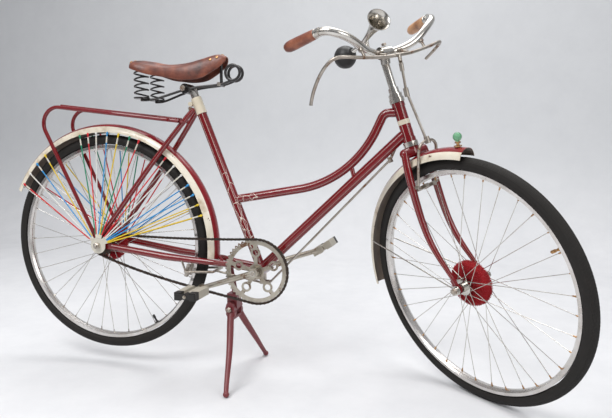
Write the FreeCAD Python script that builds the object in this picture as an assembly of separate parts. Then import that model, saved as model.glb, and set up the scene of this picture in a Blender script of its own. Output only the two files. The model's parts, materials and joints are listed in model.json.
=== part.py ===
import FreeCAD, Part
import math, os

V = FreeCAD.Vector

# ---- Driving dimensions, millimetres and degrees ----
WHEEL_RADIUS = 348.0        # outside of the tyre, 28 x 1 1/2
TYRE_RADIUS = 18.5          # tyre section
RIM_HALF_WIDTH = 12.0
STAND_LIFT = 52.5           # rear tyre above the ground on the stand
TOE_ROOM = 170.5            # bottom bracket ahead of the rear tyre
FRONT_CENTRE = 626.9        # bottom bracket to front axle, along X
BRACKET_DROP = 60.9         # bottom bracket below the rear axle
SEAT_ANGLE = 68.3
SEAT_TUBE_LENGTH = 555.7
HEAD_ANGLE = 71.6
FORK_RAKE = 58.8
STEER_TURN = -41.5          # parked with the bars turned to the right
BAR_HALF_WIDTH = 238.0
BAR_RADIUS = 11.0
CRANK_LENGTH = 175.0
CRANK_ANGLE = 198.0         # right crank, from +X towards +Z
CHAINRING_PITCH_RADIUS = 97.0
SPROCKET_PITCH_RADIUS = 36.3
CHAIN_Y = -46.0
STAND_HALF_TRACK = 172.0
RACK_HALF_WIDTH = 70.0
GUARD_HALF_WIDTH = 29.0     # mudguard half width
FIT = 0.05                  # between pieces of one body
RUN = 0.08                  # radial clearance of a running pin

# ---- Placed from the driving dimensions ----
axleZ = WHEEL_RADIUS + STAND_LIFT
bbX = WHEEL_RADIUS + TOE_ROOM
bbZ = axleZ - BRACKET_DROP
frontX = bbX + FRONT_CENTRE
frontZ = WHEEL_RADIUS - 2.6
seatDir = V(-math.cos(math.radians(SEAT_ANGLE)), 0, math.sin(math.radians(SEAT_ANGLE)))
headUp = V(-math.cos(math.radians(HEAD_ANGLE)), 0, math.sin(math.radians(HEAD_ANGLE)))
headFore = V(headUp.z, 0, -headUp.x)
Y = V(0, 1, 0)
rearAxle = V(0, 0, axleZ)
bracket = V(bbX, 0, bbZ)
frontAxle = V(frontX, 0, frontZ)
headFoot = frontAxle - headFore * FORK_RAKE
RIM_OUTER = WHEEL_RADIUS - 32.5
RIM_INNER = WHEEL_RADIUS - 47.0


def onHead(up, fore=0.0, y=0.0):
    """A place by its distance up the steering axis from the axle's foot on it."""
    return headFoot + headUp * up + headFore * fore + V(0, y, 0)


def onSeat(along, fore=0.0, y=0.0):
    """A place by its distance up the seat tube."""
    return bracket + seatDir * along + V(seatDir.z, 0, -seatDir.x) * fore + V(0, y, 0)


def around(centre, radius, degrees, y=0.0):
    a = math.radians(degrees)
    return centre + V(radius * math.cos(a), y, radius * math.sin(a))


def rod(a, b, r):
    return Part.makeCylinder(r, (b - a).Length, a, b - a)


def drum(centre, r, y0, y1):
    """A disc or pin along Y."""
    return Part.makeCylinder(r, y1 - y0, V(centre.x, y0, centre.z), Y)


def box(x0, x1, y0, y1, z0, z1):
    return Part.makeBox(x1 - x0, y1 - y0, z1 - z0, V(x0, y0, z0))


def bend(points, radii):
    """A wire of straights joined by arcs; one radius for each inner corner."""
    edges = []
    start = points[0]
    for i in range(1, len(points) - 1):
        before = (points[i - 1] - points[i]).normalize()
        after = (points[i + 1] - points[i]).normalize()
        half = before.getAngle(after) / 2
        back = radii[i - 1] / math.tan(half)
        a = points[i] + before * back
        b = points[i] + after * back
        middle = (before + after).normalize()
        m = points[i] + middle * (radii[i - 1] / math.sin(half) - radii[i - 1])
        edges.append(Part.makeLine(start, a))
        edges.append(Part.Arc(a, m, b).toShape())
        start = b
    edges.append(Part.makeLine(start, points[-1]))
    return Part.Wire(edges)


def curve(points, first=None, last=None):
    c = Part.BSplineCurve()
    if first is not None:
        c.interpolate(Points=points, InitialTangent=first, FinalTangent=last)
    else:
        c.interpolate(points)
    return c


def sweep(wire, r, direction):
    """A round bar along a wire that leaves its first point in the direction."""
    start = wire.OrderedVertexes[0].Point
    profile = Part.Wire([Part.makeCircle(r, start, direction)])
    return wire.makePipeShell([profile], True, False)


def bentBar(points, radii, r):
    return sweep(bend(points, radii), r, points[1] - points[0])


def curvedBar(points, r):
    c = curve(points)
    return sweep(Part.Wire([c.toShape()]), r, c.tangent(c.FirstParameter)[0])


def taper(stations, straight=False):
    """A bar whose radius changes along its length, smoothly or in straight lengths; stations are (point, radius)."""
    wires = []
    for i, (p, r) in enumerate(stations):
        a = stations[max(i - 1, 0)][0]
        b = stations[min(i + 1, len(stations) - 1)][0]
        wires.append(Part.Wire([Part.makeCircle(r, p, b - a)]))
    return Part.makeLoft(wires, True, straight)


def ring(centre, outline, a0=0.0, a1=360.0):
    """A Y-axis revolve of an outline of (radius, y), from a0 to a1 degrees."""
    face = Part.Face(Part.makePolygon([centre + V(r, y, 0) for r, y in outline + outline[:1]]))
    if a1 - a0 < 360:
        face.rotate(centre, Y, -a1)
    return face.revolve(centre, Y, a1 - a0)


def both(make):
    """The right and left copy of a piece."""
    return Part.makeCompound([make(-1), make(1)])


def joined(first, *rest):
    return first.multiFuse(list(rest)).removeSplitter()


def mudguardShell(centre, radius, a0, a1):
    """A rolled half-round blade round the wheel."""
    dip = 352.9 - 382.0
    outer = GUARD_HALF_WIDTH + 0.07
    def arc(r):
        return [(radius + dip + r * math.sin(math.radians(t)), r * math.cos(math.radians(t)))
                for t in range(4, 177, 2)]
    outline = arc(outer) + arc(outer - 1.6)[::-1]
    return ring(centre, outline, a0, a1)


# ---- Frame ----
def headTube():
    body = rod(onHead(415.4), onHead(528.2), 17.0)
    for up in (415.4, 516.2):
        body = body.fuse(rod(onHead(up), onHead(up + 12), 18.5))
    return body.cut(rod(onHead(400), onHead(540), 15.0))


def headsetCups():
    lower = rod(onHead(401.5), onHead(415.4 - FIT), 21.0)
    upper = rod(onHead(528.2 + FIT), onHead(541.0), 21.0)
    bore = rod(onHead(390), onHead(560), 12.7 + RUN)
    return Part.makeCompound([lower.cut(bore), upper.cut(bore)])


def topTubeWire():
    low = onSeat(225.5)
    knee = V(frontX - 347.5, 0, frontZ + 265.8)
    neck = V(frontX - 258.8, 0, frontZ + 456.1)
    end = onHead(500.0)
    return bend([low, knee, neck, V(end.x, 0, neck.z)], [306.0, 24.0])


def topTube():
    tube = sweep(topTubeWire(), 12.7, V(1, 0, 0.17))
    strut = rod(V(frontX - 352, 0, frontZ + 308), V(frontX - 341, 0, frontZ + 267), 6.5)
    tube = tube.fuse(strut)
    return tube.cut(seatTubeBlank(FIT)).cut(headBlank()).cut(downTubeBlank(FIT))


def seatTubeBlank(extra=0.0):
    return rod(onSeat(0), onSeat(SEAT_TUBE_LENGTH), 14.3 + extra)


def headBlank():
    return rod(onHead(405), onHead(535), 18.5 + FIT)


def downTubeBlank(extra=0.0):
    return rod(bracket, onHead(443.5), 15.0 + extra)


def bracketBlank(extra=0.0):
    return drum(bracket, 20.0 + extra, -37, 37)


def downTube():
    return downTubeBlank().cut(headBlank()).cut(bracketBlank(FIT))


def seatTube():
    tube = seatTubeBlank().cut(bracketBlank(FIT)).cut(downTubeBlank(FIT))
    lug = rod(onSeat(SEAT_TUBE_LENGTH - 52), onSeat(SEAT_TUBE_LENGTH), 16.2)
    binder = rod(onSeat(SEAT_TUBE_LENGTH - 12, -19, -14), onSeat(SEAT_TUBE_LENGTH - 12, -19, 14), 7.0)
    tube = tube.fuse(lug).fuse(binder)
    return tube.cut(rod(onSeat(SEAT_TUBE_LENGTH - 120), onSeat(SEAT_TUBE_LENGTH + 5), 12.7 + FIT))


def bracketShell():
    shell = joined(drum(bracket, 20.0, -34, 34), drum(bracket, 17.0, -38, 38))
    return shell.cut(drum(bracket, 8.5 + RUN, -50, 50))


def dropout(side, extra=0.0):
    y0, y1 = sorted((side * (57.0 - extra), side * (63.0 + extra)))
    plate = drum(rearAxle, 17.0 + extra, y0, y1)
    plate = plate.fuse(box(-9 - extra, 13 + extra, y0, y1, axleZ, axleZ + 34 + extra))
    plate = plate.fuse(box(0, 50 + extra, y0, y1, axleZ - 12 - extra, axleZ + 7 + extra))
    return plate


def chainStays():
    def one(side):
        tip = V(44, side * 60, axleZ - 3.5)
        stay = taper([(tip, 10.5), (V(222 * bbX / 518.5, side * 50, axleZ - 28.5), 11.5),
                      (V(bbX - 138, side * 40.2, bbZ + 19), 9.2), (V(bbX - 100, side * 29, bbZ + 14), 8.5),
                      (V(bbX - 10, side * 23, bbZ + 2), 9.5)], straight=True)
        stay = stay.cut(bracketBlank(FIT)).cut(downTubeBlank(FIT))
        stay = stay.fuse(dropout(side))
        return stay.cut(drum(rearAxle, 4.75 + FIT, -100, 100))
    return both(one)


def onStay(t, side):
    """A place along a seat stay, 0 at the axle and 1 at the seat lug; it bows out round the mudguard."""
    spread = [(0, 60), (0.35, 50), (0.70, GUARD_HALF_WIDTH + 10), (0.86, 28), (1, 16)]
    top, foot = onSeat(SEAT_TUBE_LENGTH - 33, -19), V(2, 0, axleZ + 28)
    for (t0, y0), (t1, y1) in zip(spread, spread[1:]):
        if t <= t1:
            y = y0 + (y1 - y0) * (t - t0) / (t1 - t0)
            break
    return foot + (top - foot) * t + V(0, side * y, 0)


def seatStays():
    def one(side):
        stay = taper([(onStay(t, side), r) for t, r in
                      ((1, 8.0), (0.86, 8.2), (0.7, 8.2), (0.35, 8.2), (0, 6.5))])
        stay = stay.fuse(Part.makeSphere(8.4, onStay(1, side)))
        lug = rod(onSeat(SEAT_TUBE_LENGTH - 60), onSeat(SEAT_TUBE_LENGTH + 2), 16.2 + FIT)
        return stay.cut(lug).cut(seatTubeBlank(FIT)).cut(dropout(side, FIT))
    return both(one)


# ---- Saddle ----
def saddleAt(x, y, z):
    """Saddle places ride on the top of the seat tube."""
    top = onSeat(SEAT_TUBE_LENGTH)
    return V(top.x - 312.0 + x, y, top.z - 856.0 + z)


def seatPost():
    return rod(onSeat(SEAT_TUBE_LENGTH - 100), onSeat(SEAT_TUBE_LENGTH + 30), 12.7)


SADDLE = [  # x, half width, top, lower edge
    (126, 62, 958, 948), (138, 84, 968, 941), (160, 94, 970, 933), (195, 90, 965, 922), (240, 68, 957, 914),
    (290, 45, 961, 907), (340, 33, 972, 911), (382, 27, 982, 932), (408, 20, 980, 950), (417, 10, 974, 963)]


def saddleBody(inset):
    wires = []
    rows = SADDLE if inset == 0 else SADDLE[1:-1]
    for x, w, top, edge in rows:
        w, top, edge = w - inset, top - inset, edge - inset * 1.5
        points = []
        for i in range(11):
            t = math.pi * i / 10
            c, s = math.cos(t), math.sin(t)
            points.append(saddleAt(x, math.copysign(abs(c) ** 0.75, c) * w, edge + (top - edge) * abs(s) ** 0.62))
        arc = curve(points).toShape()
        wires.append(Part.Wire([arc, Part.makeLine(points[-1], points[0])]))
    return Part.makeLoft(wires, True, False)


def saddleLeather():
    shell = saddleBody(0).cut(saddleBody(4.5))
    return max(shell.Solids, key=lambda s: s.Volume)


def saddleChassis(leather):
    pieces = [drum(saddleAt(286, 0, 884), 15.0, -24, 24), drum(saddleAt(286, 0, 884), 8.0, -31, 31)]
    top = saddleAt(0, 0, 0)
    for side in (-1, 1):
        pieces.append(curvedBar([saddleAt(150, side * 44, 851), saddleAt(190, side * 36, 853.5), saddleAt(222, side * 29, 862),
                                 saddleAt(286, side * 21, 880), saddleAt(345, side * 15, 889),
                                 saddleAt(398, side * 12, 894), saddleAt(432, side * 12, 904.5)], 3.6))
        loop = Part.makeTorus(22.5, 4.2, saddleAt(437, side * 12, 927), Y)
        pieces.append(loop)
        coil = saddleAt(155, side * 47, 0)
        pieces.append(Part.makeCylinder(23.5, 4, V(coil.x, coil.y, top.z + 854.4)))
        pieces.append(Part.makeCylinder(12, 30, V(coil.x, coil.y, top.z + 945)))
    pieces.append(box(top.x + 142, top.x + 168, -70, 70, top.z + 941, top.z + 946))
    pieces.append(box(top.x + 147, top.x + 163, -60, 60, top.z + 854.4, top.z + 858.4))
    pieces.append(drum(saddleAt(396, 0, 894), 5.0, -16, 16))
    pieces.append(rod(saddleAt(396, 0, 894), saddleAt(396, 0, 981), 4.5))
    chassis = joined(pieces[0], *pieces[1:])
    chassis = chassis.cut(rod(onSeat(SEAT_TUBE_LENGTH), onSeat(SEAT_TUBE_LENGTH + 30), 12.7 + FIT))
    lowered = leather.copy()
    lowered.translate(V(0, 0, -0.3))
    chassis = chassis.cut(leather).cut(lowered)
    return max(chassis.Solids, key=lambda s: s.Volume)


def saddleSprings():
    """Two coils, each a chain of half turns: a half turn is a planar arc that climbs from one side to the other."""
    halfTurns, climb, r, wire = 8, 77.0 / 8, 20.0, 2.6

    def one(side):
        base = saddleAt(155, side * 47, 861.1)
        halves = []
        for i in range(halfTurns):
            start = base + V(r if i % 2 == 0 else -r, 0, climb * i)
            stop = base + V(-r if i % 2 == 0 else r, 0, climb * (i + 1))
            axis = (stop - start).cross(Y) if i % 2 else Y.cross(stop - start)
            section = Part.Face(Part.Wire([Part.makeCircle(wire, start, Y)]))
            halves.append(section.revolve((start + stop) * 0.5, axis, 180))
        return joined(halves[0], *halves[1:])
    return both(one)


# ---- Mudguards, rack and skirt guards ----
def rearMudguard():
    guard = mudguardShell(rearAxle, WHEEL_RADIUS + 34, -5.3, 153.0)
    bridge = rod(V(bbX - 128, 0, bbZ + 16), around(rearAxle, WHEEL_RADIUS + 33, -4.3), 5.0)
    return max(guard.fuse(bridge.cut(guard)).Solids, key=lambda s: s.Volume).cut(chainBridge(FIT))


def guardStay(axle, eyeY, tipRadius, tipAngle, side, boltRadius=4.75):
    """A wire from an eye on the axle to the mudguard's edge."""
    y0, y1 = sorted((side * (eyeY - 1.6), side * (eyeY + 1.6)))
    eye = drum(axle, 12.0, y0, y1)
    tip = around(axle, tipRadius, tipAngle, side * (GUARD_HALF_WIDTH + 2.4))
    wire = rod(around(axle, 10.8, tipAngle, side * eyeY), tip, 2.0)
    return joined(eye, wire).cut(drum(axle, boltRadius + FIT, -110, 110))


def rearMudguardStays():
    return both(lambda side: guardStay(rearAxle, 68.25, WHEEL_RADIUS + 10, 149.0, side))


def rackTube(side):
    front = onStay(0.918, side)
    slope = 0.118
    start = front + V(-10, side * 14.5, 0)
    rearX = -219.0 * WHEEL_RADIUS / 348.0
    corner = V(rearX, side * RACK_HALF_WIDTH, start.z - (rearX - start.x) * slope)
    shoulder = V(start.x - 200, side * (RACK_HALF_WIDTH - 3), start.z + 200 * slope)
    foot = V(-19, side * 68, axleZ + 44)
    return start, shoulder, corner, foot


def rearRack():
    pieces = []
    for side in (-1, 1):
        start, shoulder, corner, foot = rackTube(side)
        pieces.append(bentBar([start, shoulder, corner, foot], [120.0, 52.0], 6.0))
        y0, y1 = sorted((side * 63.1, side * 66.1))
        strap = drum(rearAxle, 10.0, y0, y1)
        blade = box(-8, 8, y0, y1, axleZ, axleZ + 56)
        blade.rotate(rearAxle, Y, -24.5)
        pieces += [strap.fuse(blade), rod(start + V(2, 0, 0), start + V(9, -side * 6.3, -3), 5.0)]
    start, shoulder, corner, foot = rackTube(1)
    for x in (corner.x + 78, (corner.x + shoulder.x) / 2 + 10, shoulder.x - 10, start.x - 30):
        t = (x - start.x) / (corner.x - start.x)
        z = start.z + (corner.z - start.z) * t
        half = RACK_HALF_WIDTH - 2 if x < shoulder.x else RACK_HALF_WIDTH - 18
        pieces.append(drum(V(x, 0, z), 4.0, -half, half))
    for y in (-24, 0, 24):
        a = V(corner.x + 68, y, corner.z + (start.z - corner.z) * 68 / (start.x - corner.x) + 6.5)
        b = V(start.x - 22, y, start.z + 22 * 0.118 + 6.5)
        pieces.append(rod(a, b, 3.2))
    rack = joined(pieces[0], *pieces[1:])
    rack = rack.cut(seatStays())
    rack = rack.cut(drum(rearAxle, 4.75 + FIT, -110, 110))
    return max(rack.Solids, key=lambda s: s.Volume)


CORD_ANGLES = [148, 141, 134, 127, 103, 98, 93, 86.5, 80, 73.5, 68, 51, 45, 39, 33, 27.5, 22, 16.5]


def skirtGuard(side):
    y0, y1 = sorted((side * 70.4, side * 72.1))
    plate = drum(rearAxle, 25.5, y0, y1).cut(drum(rearAxle, 4.75 + FIT, -110, 110))
    cords = []
    for angle in CORD_ANGLES:
        a = around(rearAxle, 23, angle, side * 71.2)
        b = around(rearAxle, WHEEL_RADIUS + 9, angle, side * (GUARD_HALF_WIDTH + 3.2))
        cords.append(rod(a, b, 1.2))
    return joined(plate, *cords)


# ---- Wheels ----
def tyre(centre):
    mid = WHEEL_RADIUS - TYRE_RADIUS
    reach = math.acos((RIM_OUTER + 0.2 - mid) / TYRE_RADIUS)
    outline = [(mid + TYRE_RADIUS * math.cos(reach * i / 24), TYRE_RADIUS * math.sin(reach * i / 24))
               for i in range(-24, 25)]
    return ring(centre, outline)


def rim(centre):
    w = RIM_HALF_WIDTH
    return ring(centre, [(RIM_OUTER, -w), (RIM_OUTER, w), (RIM_OUTER - 9, w), (RIM_INNER + 1.5, w * 0.55),
                         (RIM_INNER, w * 0.3), (RIM_INNER, -w * 0.3), (RIM_INNER + 1.5, -w * 0.55),
                         (RIM_OUTER - 9, -w)])


def hub(centre, flangeRadius, leftY, rightY, barrel, leftEnd, rightEnd):
    """Hub shell with its laced spokes, three cross, eighteen to a flange."""
    body = joined(drum(centre, barrel, -rightEnd, leftEnd), drum(centre, flangeRadius, leftY - 1.6, leftY + 1.6),
                  drum(centre, flangeRadius, -rightY - 1.6, -rightY + 1.6))
    spokes = []
    for y, rimY, shift in ((leftY, 2.8, 0), (-rightY, -2.8, 10)):
        for i in range(18):
            lead = 1 if i % 2 == 0 else -1
            hole = 20 * i + shift
            a = around(centre, flangeRadius - 3.5, hole, y + 1.15 * lead)
            b = around(centre, RIM_INNER - 0.3, hole + 60 * lead, rimY + 1.15 * lead)
            spokes.append(rod(a, b, 0.95))
    body = body.multiFuse(spokes)
    return body.cut(drum(centre, 4.75 + RUN, -120, 120))


def hubDuster(centre, inner, outer, half):
    outline = []
    for i in range(16):
        t = 2 * math.pi * i / 16
        c, s = math.cos(t), math.sin(t)
        r = (inner + outer) / 2 + math.copysign(abs(c) ** 0.6, c) * (outer - inner) / 2
        outline.append((r, math.copysign(abs(s) ** 0.6, s) * half))
    return ring(centre, outline)


def rearAxleBar():
    bar = drum(rearAxle, 4.75, -90, 90)
    for side in (-1, 1):
        for r, a, b in ((8.0, 50.3, 56.95), (9.5, 72.2, 79.0)):
            y0, y1 = sorted((side * a, side * b))
            bar = bar.fuse(drum(rearAxle, r, y0, y1))
    return bar


def frontAxleBar():
    bar = drum(frontAxle, 4.75, -76, 76)
    for side in (-1, 1):
        for r, a, b in ((7.5, 46.3, 50.1), (9.5, 62.3, 68.5)):
            y0, y1 = sorted((side * a, side * b))
            bar = bar.fuse(drum(frontAxle, r, y0, y1))
    return bar


# ---- Drive ----
def chainPath():
    """The chain's centre line: round the sprocket's back, sagging runs, round the ring's front."""
    points = []
    gap = bracket - rearAxle
    ringR, cogR = CHAINRING_PITCH_RADIUS, SPROCKET_PITCH_RADIUS
    for a in range(92, 225, 12):
        points.append(around(rearAxle, cogR, a))
    low0, low1 = around(rearAxle, cogR, 232), around(bracket, ringR, 262)
    for i in range(1, 14):
        t = i / 14.0
        sag = 17.0 * 4 * t * (1 - t) * (1 - 0.55 * t) + 12 * t * (1 - t) ** 3
        p = low0 + (low1 - low0) * t
        points.append(p - V(0, 0, sag))
    for a in range(262, 452, 10):
        points.append(around(bracket, ringR, a))
    up0, up1 = around(bracket, ringR, 92), around(rearAxle, cogR, 92)
    for i in range(1, 12):
        t = i / 12.0
        points.append(up0 + (up1 - up0) * t - V(0, 0, 6.5 * 4 * t * (1 - t)))
    return points


def offsetLoop(points, distance):
    moved = []
    n = len(points)
    for i in range(n):
        d = (points[(i + 1) % n] - points[i - 1]).normalize()
        moved.append(points[i] + V(d.z, 0, -d.x) * distance)
    c = Part.BSplineCurve()
    c.interpolate(Points=moved, PeriodicFlag=True)
    return Part.Wire([c.toShape()])


def chain():
    path = [p + V(0, CHAIN_Y - 4.0, 0) for p in chainPath()]
    loops = sorted([offsetLoop(path, 4.0), offsetLoop(path, -4.0)], key=lambda w: -w.BoundBox.XLength)
    face = Part.Face(loops[0]).cut(Part.Face(loops[1]))
    return face.Faces[0].extrude(V(0, 8.0, 0))


def sprocket():
    r = SPROCKET_PITCH_RADIUS - 4.8
    disc = drum(rearAxle, r, CHAIN_Y - 1.5, CHAIN_Y + 1.5)
    return disc.cut(drum(rearAxle, 17.0 + FIT, -80, 0))


def chainring():
    r = CHAINRING_PITCH_RADIUS - 4.8
    y0, y1 = CHAIN_Y - 1.6, CHAIN_Y + 1.6
    plate = drum(bracket, r, y0, y1).cut(drum(bracket, r - 11, y0 - 1, y1 + 1))
    hubPlate = drum(bracket, 24, y0, y1).fuse(drum(bracket, 17, CHAIN_Y - 13.2, CHAIN_Y + 1.6))
    plate = plate.fuse(hubPlate)
    for i in range(5):
        a = 72 * i + 20
        arm = box(15, r - 8, y0, y1, -6, 6)
        arm.translate(V(bbX, 0, bbZ))
        arm.rotate(bracket, Y, -a)
        loop = drum(around(bracket, r * 0.62, a), 15.0, y0, y1).cut(
            drum(around(bracket, r * 0.62, a), 9.0, y0 - 1, y1 + 1))
        plate = plate.fuse(arm.cut(drum(around(bracket, r * 0.62, a), 14.0, y0 - 1, y1 + 1))).fuse(loop)
    return plate.removeSplitter().cut(drum(bracket, 8.5 + FIT, -90, 0))


def crankSpindle():
    return drum(bracket, 8.5, -78, 78)


def crank(side):
    angle = CRANK_ANGLE if side < 0 else CRANK_ANGLE - 180
    end = around(bracket, CRANK_LENGTH, angle)
    y0, y1 = sorted((side * 62.0, side * 76.0))
    boss = drum(bracket, 15.0, y0, y1)
    eye = drum(end, 12.0, y0, y1)
    start = around(bracket, 6, angle, side * 69)
    stop = around(bracket, CRANK_LENGTH - 4, angle, side * 69)
    arm = taper([(start, 9.5), (start + (stop - start) * 0.5, 8.2), (stop, 7.6)])
    pin = drum(end, 5.0, *sorted((side * 69, side * 184)))
    pinCollar = drum(end, 8.0, *sorted((side * 76, side * 82)))
    cotter = rod(around(bracket, 14, angle + 120, side * 69), around(bracket, 20, angle - 60, side * 69), 4.0)
    return joined(boss, eye, arm, pin, pinCollar, cotter).cut(drum(bracket, 8.5 + FIT, -100, 100))


def pedal(side):
    angle = CRANK_ANGLE if side < 0 else CRANK_ANGLE - 180
    end = around(bracket, CRANK_LENGTH, angle)
    y0, y1 = sorted((side * 88.0, side * 182.0))
    pieces = [drum(end, 9.0, y0, y1)]
    for x in (-1, 1):
        cx = end.x + x * 23
        pieces.append(box(cx - 10, cx + 10, y0 + 2, y1 - 2, end.z - 11.5, end.z + 11.5))
    for y in (y0, y1 - 3):
        pieces.append(box(end.x - 31, end.x + 31, y, y + 3, end.z - 7.5, end.z + 7.5))
    body = joined(pieces[0], *pieces[1:])
    if side > 0:
        body.rotate(end, Y, -32)
    return body.cut(drum(end, 5.0 + RUN, -200, 200))


# ---- Stand ----
pivot = V(bbX - 91.5, 0, axleZ - 185.5)


def chainBridge(extra=0.0):
    return drum(V(bbX - 104, 0, bbZ + 15), 7.5 + extra, -26, 26).cut(chainStays())


def standBracket():
    bar = chainBridge()
    neck = joined(rod(V(bbX - 104, 0, bbZ + 15), V(pivot.x + 6, 0, pivot.z + 38), 8.5),
                  box(pivot.x - 15, pivot.x + 17, -18, 18, pivot.z, pivot.z + 45), drum(pivot, 14.0, -18, 18),
                  drum(pivot, 6.0, -39, 39))
    return joined(bar, neck)


def standLegs():
    pieces = []
    for side in (-1, 1):
        y0, y1 = sorted((side * 19.5, side * 34.0))
        lobe = joined(drum(pivot, 15.0, y0, y1), drum(pivot + V(2, 0, -14), 14.5, y0, y1),
                      drum(pivot + V(0, 0, 9), 12.5, y0, y1))
        foot = V(pivot.x + 43, side * STAND_HALF_TRACK, 9.0)
        knee = pivot + V(6, side * 36, -30)
        leg = taper([(pivot + V(2, side * 30, -14), 10.5), (knee + V(0, side * 8, -6), 10.5),
                     (knee + (foot - knee) * 0.3, 10.0), (knee + (foot - knee) * 0.7, 8.0), (foot, 7.0)])
        pieces += [lobe, leg, Part.makeSphere(9.0, foot)]
    pieces.append(drum(pivot + V(6, 0, -29), 6.5, -30, 30))
    stand = joined(pieces[0], *pieces[1:])
    stand = stand.cut(drum(pivot, 6.0 + RUN, -60, 60)).cut(drum(pivot, 16.0, -19.4, 19.4))
    return stand.cut(box(pivot.x - 100, pivot.x + 200, -300, 300, -60, 0))


# ---- Rear brake ----
def rearBrakeRod():
    high = onHead(385, -67)
    low = V(bbX + 30, 0, bbZ - 38)
    clip = rod(high, onHead(415, -40), 4.0)
    bell = joined(box(bbX - 1, bbX + 15, -4, 4, bbZ - 46, bbZ - 12), rod(V(bbX + 4, 0, bbZ - 38), low, 5.0),
                  drum(V(bbX + 5, 0, bbZ - 38), 5.5, -19, 0))
    clip = clip.cut(headBlank())
    return joined(rod(high, low, 3.2), rod(onHead(377, -66), onHead(393, -68), 6.5), clip, bell).cut(
        bracketBlank(FIT)).cut(downTubeBlank(FIT))


def rearBrakeStirrup():
    tyreX = WHEEL_RADIUS
    pull = rod(V(bbX - 0.8, -15, bbZ - 38), V(tyreX + 26, -15, axleZ - 72), 3.2)
    pieces = [pull, drum(V(tyreX + 26, 0, axleZ - 72), 4.2, -34, 34)]
    for side in (-1, 1):
        arm = rod(V(tyreX + 26, side * 34, axleZ - 72), V(tyreX - 66, side * 34, axleZ - 77), 4.2)
        pieces += [arm, Part.makeSphere(4.2, V(tyreX + 26, side * 34, axleZ - 72))]
        padAt = around(rearAxle, WHEEL_RADIUS - 59, -15.2)
        shoe = box(padAt.x - 20, padAt.x + 20, *sorted((side * 7.5, side * 20)), padAt.z - 5, padAt.z + 5)
        shoe.rotate(padAt, Y, -74.8)
        pieces += [shoe, rod(padAt + V(0, side * 14, 0), padAt + V(0, side * 34, -1), 3.5)]
        hang = V(tyreX - 66, side * 34, axleZ - 77)
        pieces.append(rod(hang, hang + V(-2, side * 20.5, 40), 3.2))
    stirrup = joined(pieces[0], *pieces[1:])
    return stirrup.cut(chainStays())


# ---- Steering, built pointing ahead ----
def blade(side):
    return taper([(onHead(392, 6, side * 36), 10.5), (onHead(330, 4, side * 45), 11.0),
                  (onHead(230, 1, side * 48), 10.2), (onHead(150, 7, side * 50), 9.0),
                  (onHead(85, 27, side * 51.5), 7.6), (onHead(36, 48, side * 52.5), 5.8),
                  (onHead(11, 56.5, side * 52.8), 5.0)])


def fork():
    crown = joined(rod(onHead(401.4), onHead(381), 19.5),
                   rod(onHead(386, 3, -36), onHead(386, 3, 36), 14.0),
                   Part.makeSphere(14.0, onHead(386, 3, -36)), Part.makeSphere(14.0, onHead(386, 3, 36)))
    crown = crown.cut(mudguardKeepout())
    pieces = [rod(onHead(386), onHead(556), 12.7)]
    for side in (-1, 1):
        y0, y1 = sorted((side * 50.2, side * 55.2))
        tip = drum(frontAxle, 12.0, y0, y1)
        tongue = box(-8, 8, y0, y1, 0, 30)
        tongue.translate(frontAxle)
        tongue.rotate(frontAxle, Y, -38)
        pieces += [blade(side), tip, tongue]
    shape = joined(crown, *pieces)
    return shape.cut(drum(frontAxle, 4.75 + FIT, -100, 100)).cut(rod(onHead(520), onHead(600), 11.1))


guardCentre = V(frontX - 5, 0, frontZ - 6)
FRONT_GUARD = WHEEL_RADIUS + 31


def mudguardKeepout():
    return drum(guardCentre, FRONT_GUARD + FIT, -GUARD_HALF_WIDTH - 0.4, GUARD_HALF_WIDTH + 0.4)


def frontMudguard():
    guard = mudguardShell(guardCentre, FRONT_GUARD, 88.0, 194.0)
    return guard


def frontMudguardStays():
    return both(lambda side: guardStay(frontAxle, 60.2, WHEEL_RADIUS + 6, 170.8, side))


def ornamentStem():
    base = around(guardCentre, FRONT_GUARD + 0.1, 92.2)
    up = (base - guardCentre).normalize()
    return joined(rod(base + up * 1.2, base + up * 4, 10.0), rod(base, base + up * 13, 4.0),
                  rod(base + up * 10, base + up * 14, 7.5)).cut(
        drum(guardCentre, FRONT_GUARD + FIT, -GUARD_HALF_WIDTH, GUARD_HALF_WIDTH))


def ornamentBall():
    base = around(guardCentre, FRONT_GUARD + 26.2, 92.2)
    return Part.makeSphere(12.0, base)


def frontAxleHeight():
    return frontAxle.z - 345.4


def st(x, y, z):
    """Steering places, on the front axle."""
    return V(frontX - 1145.4 + x, y, frontAxleHeight() + z)


def barY(y):
    return y * BAR_HALF_WIDTH / 238.0


def locknut():
    nut = joined(rod(onHead(541.5), onHead(553.5), 19.0), rod(onHead(553.5), onHead(556), 15.5))
    return nut.cut(rod(onHead(530), onHead(560), 12.7 + FIT))


def stem():
    clamp = drum(st(889, 0, 965), 17.0, -19, 19)
    quill = rod(onHead(525), onHead(645), 11.0)
    collar = rod(onHead(556.1), onHead(571), 14.5)
    bolt = rod(st(905, 0, 972), st(915, 0, 978), 7.0)
    body = joined(quill, collar, clamp, bolt, rod(onHead(640, 2), onHead(668, 9), 13.5))
    body = body.cut(drum(st(889, 0, 965), BAR_RADIUS + 0.15, -60, 60))
    return max(body.Solids, key=lambda s: s.Volume)


def barEdges():
    """The right half of the bar from the clamp outwards; the grip is straight."""
    p = [st(889, barY(16), 965), st(897, barY(48), 969), st(911, barY(95), 985), st(915, barY(141), 1016),
         st(899, barY(182), 1037), st(857, barY(206), 1038)]
    end = st(759, barY(238), 1011)
    grip = end - p[-1]
    c = curve(p, V(0, 1, 0) * 40, grip.normalize() * 45)
    return c, p[-1], end


def mirrored(shape, side):
    return shape.mirror(V(0, 0, 0), Y) if side < 0 else shape


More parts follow.
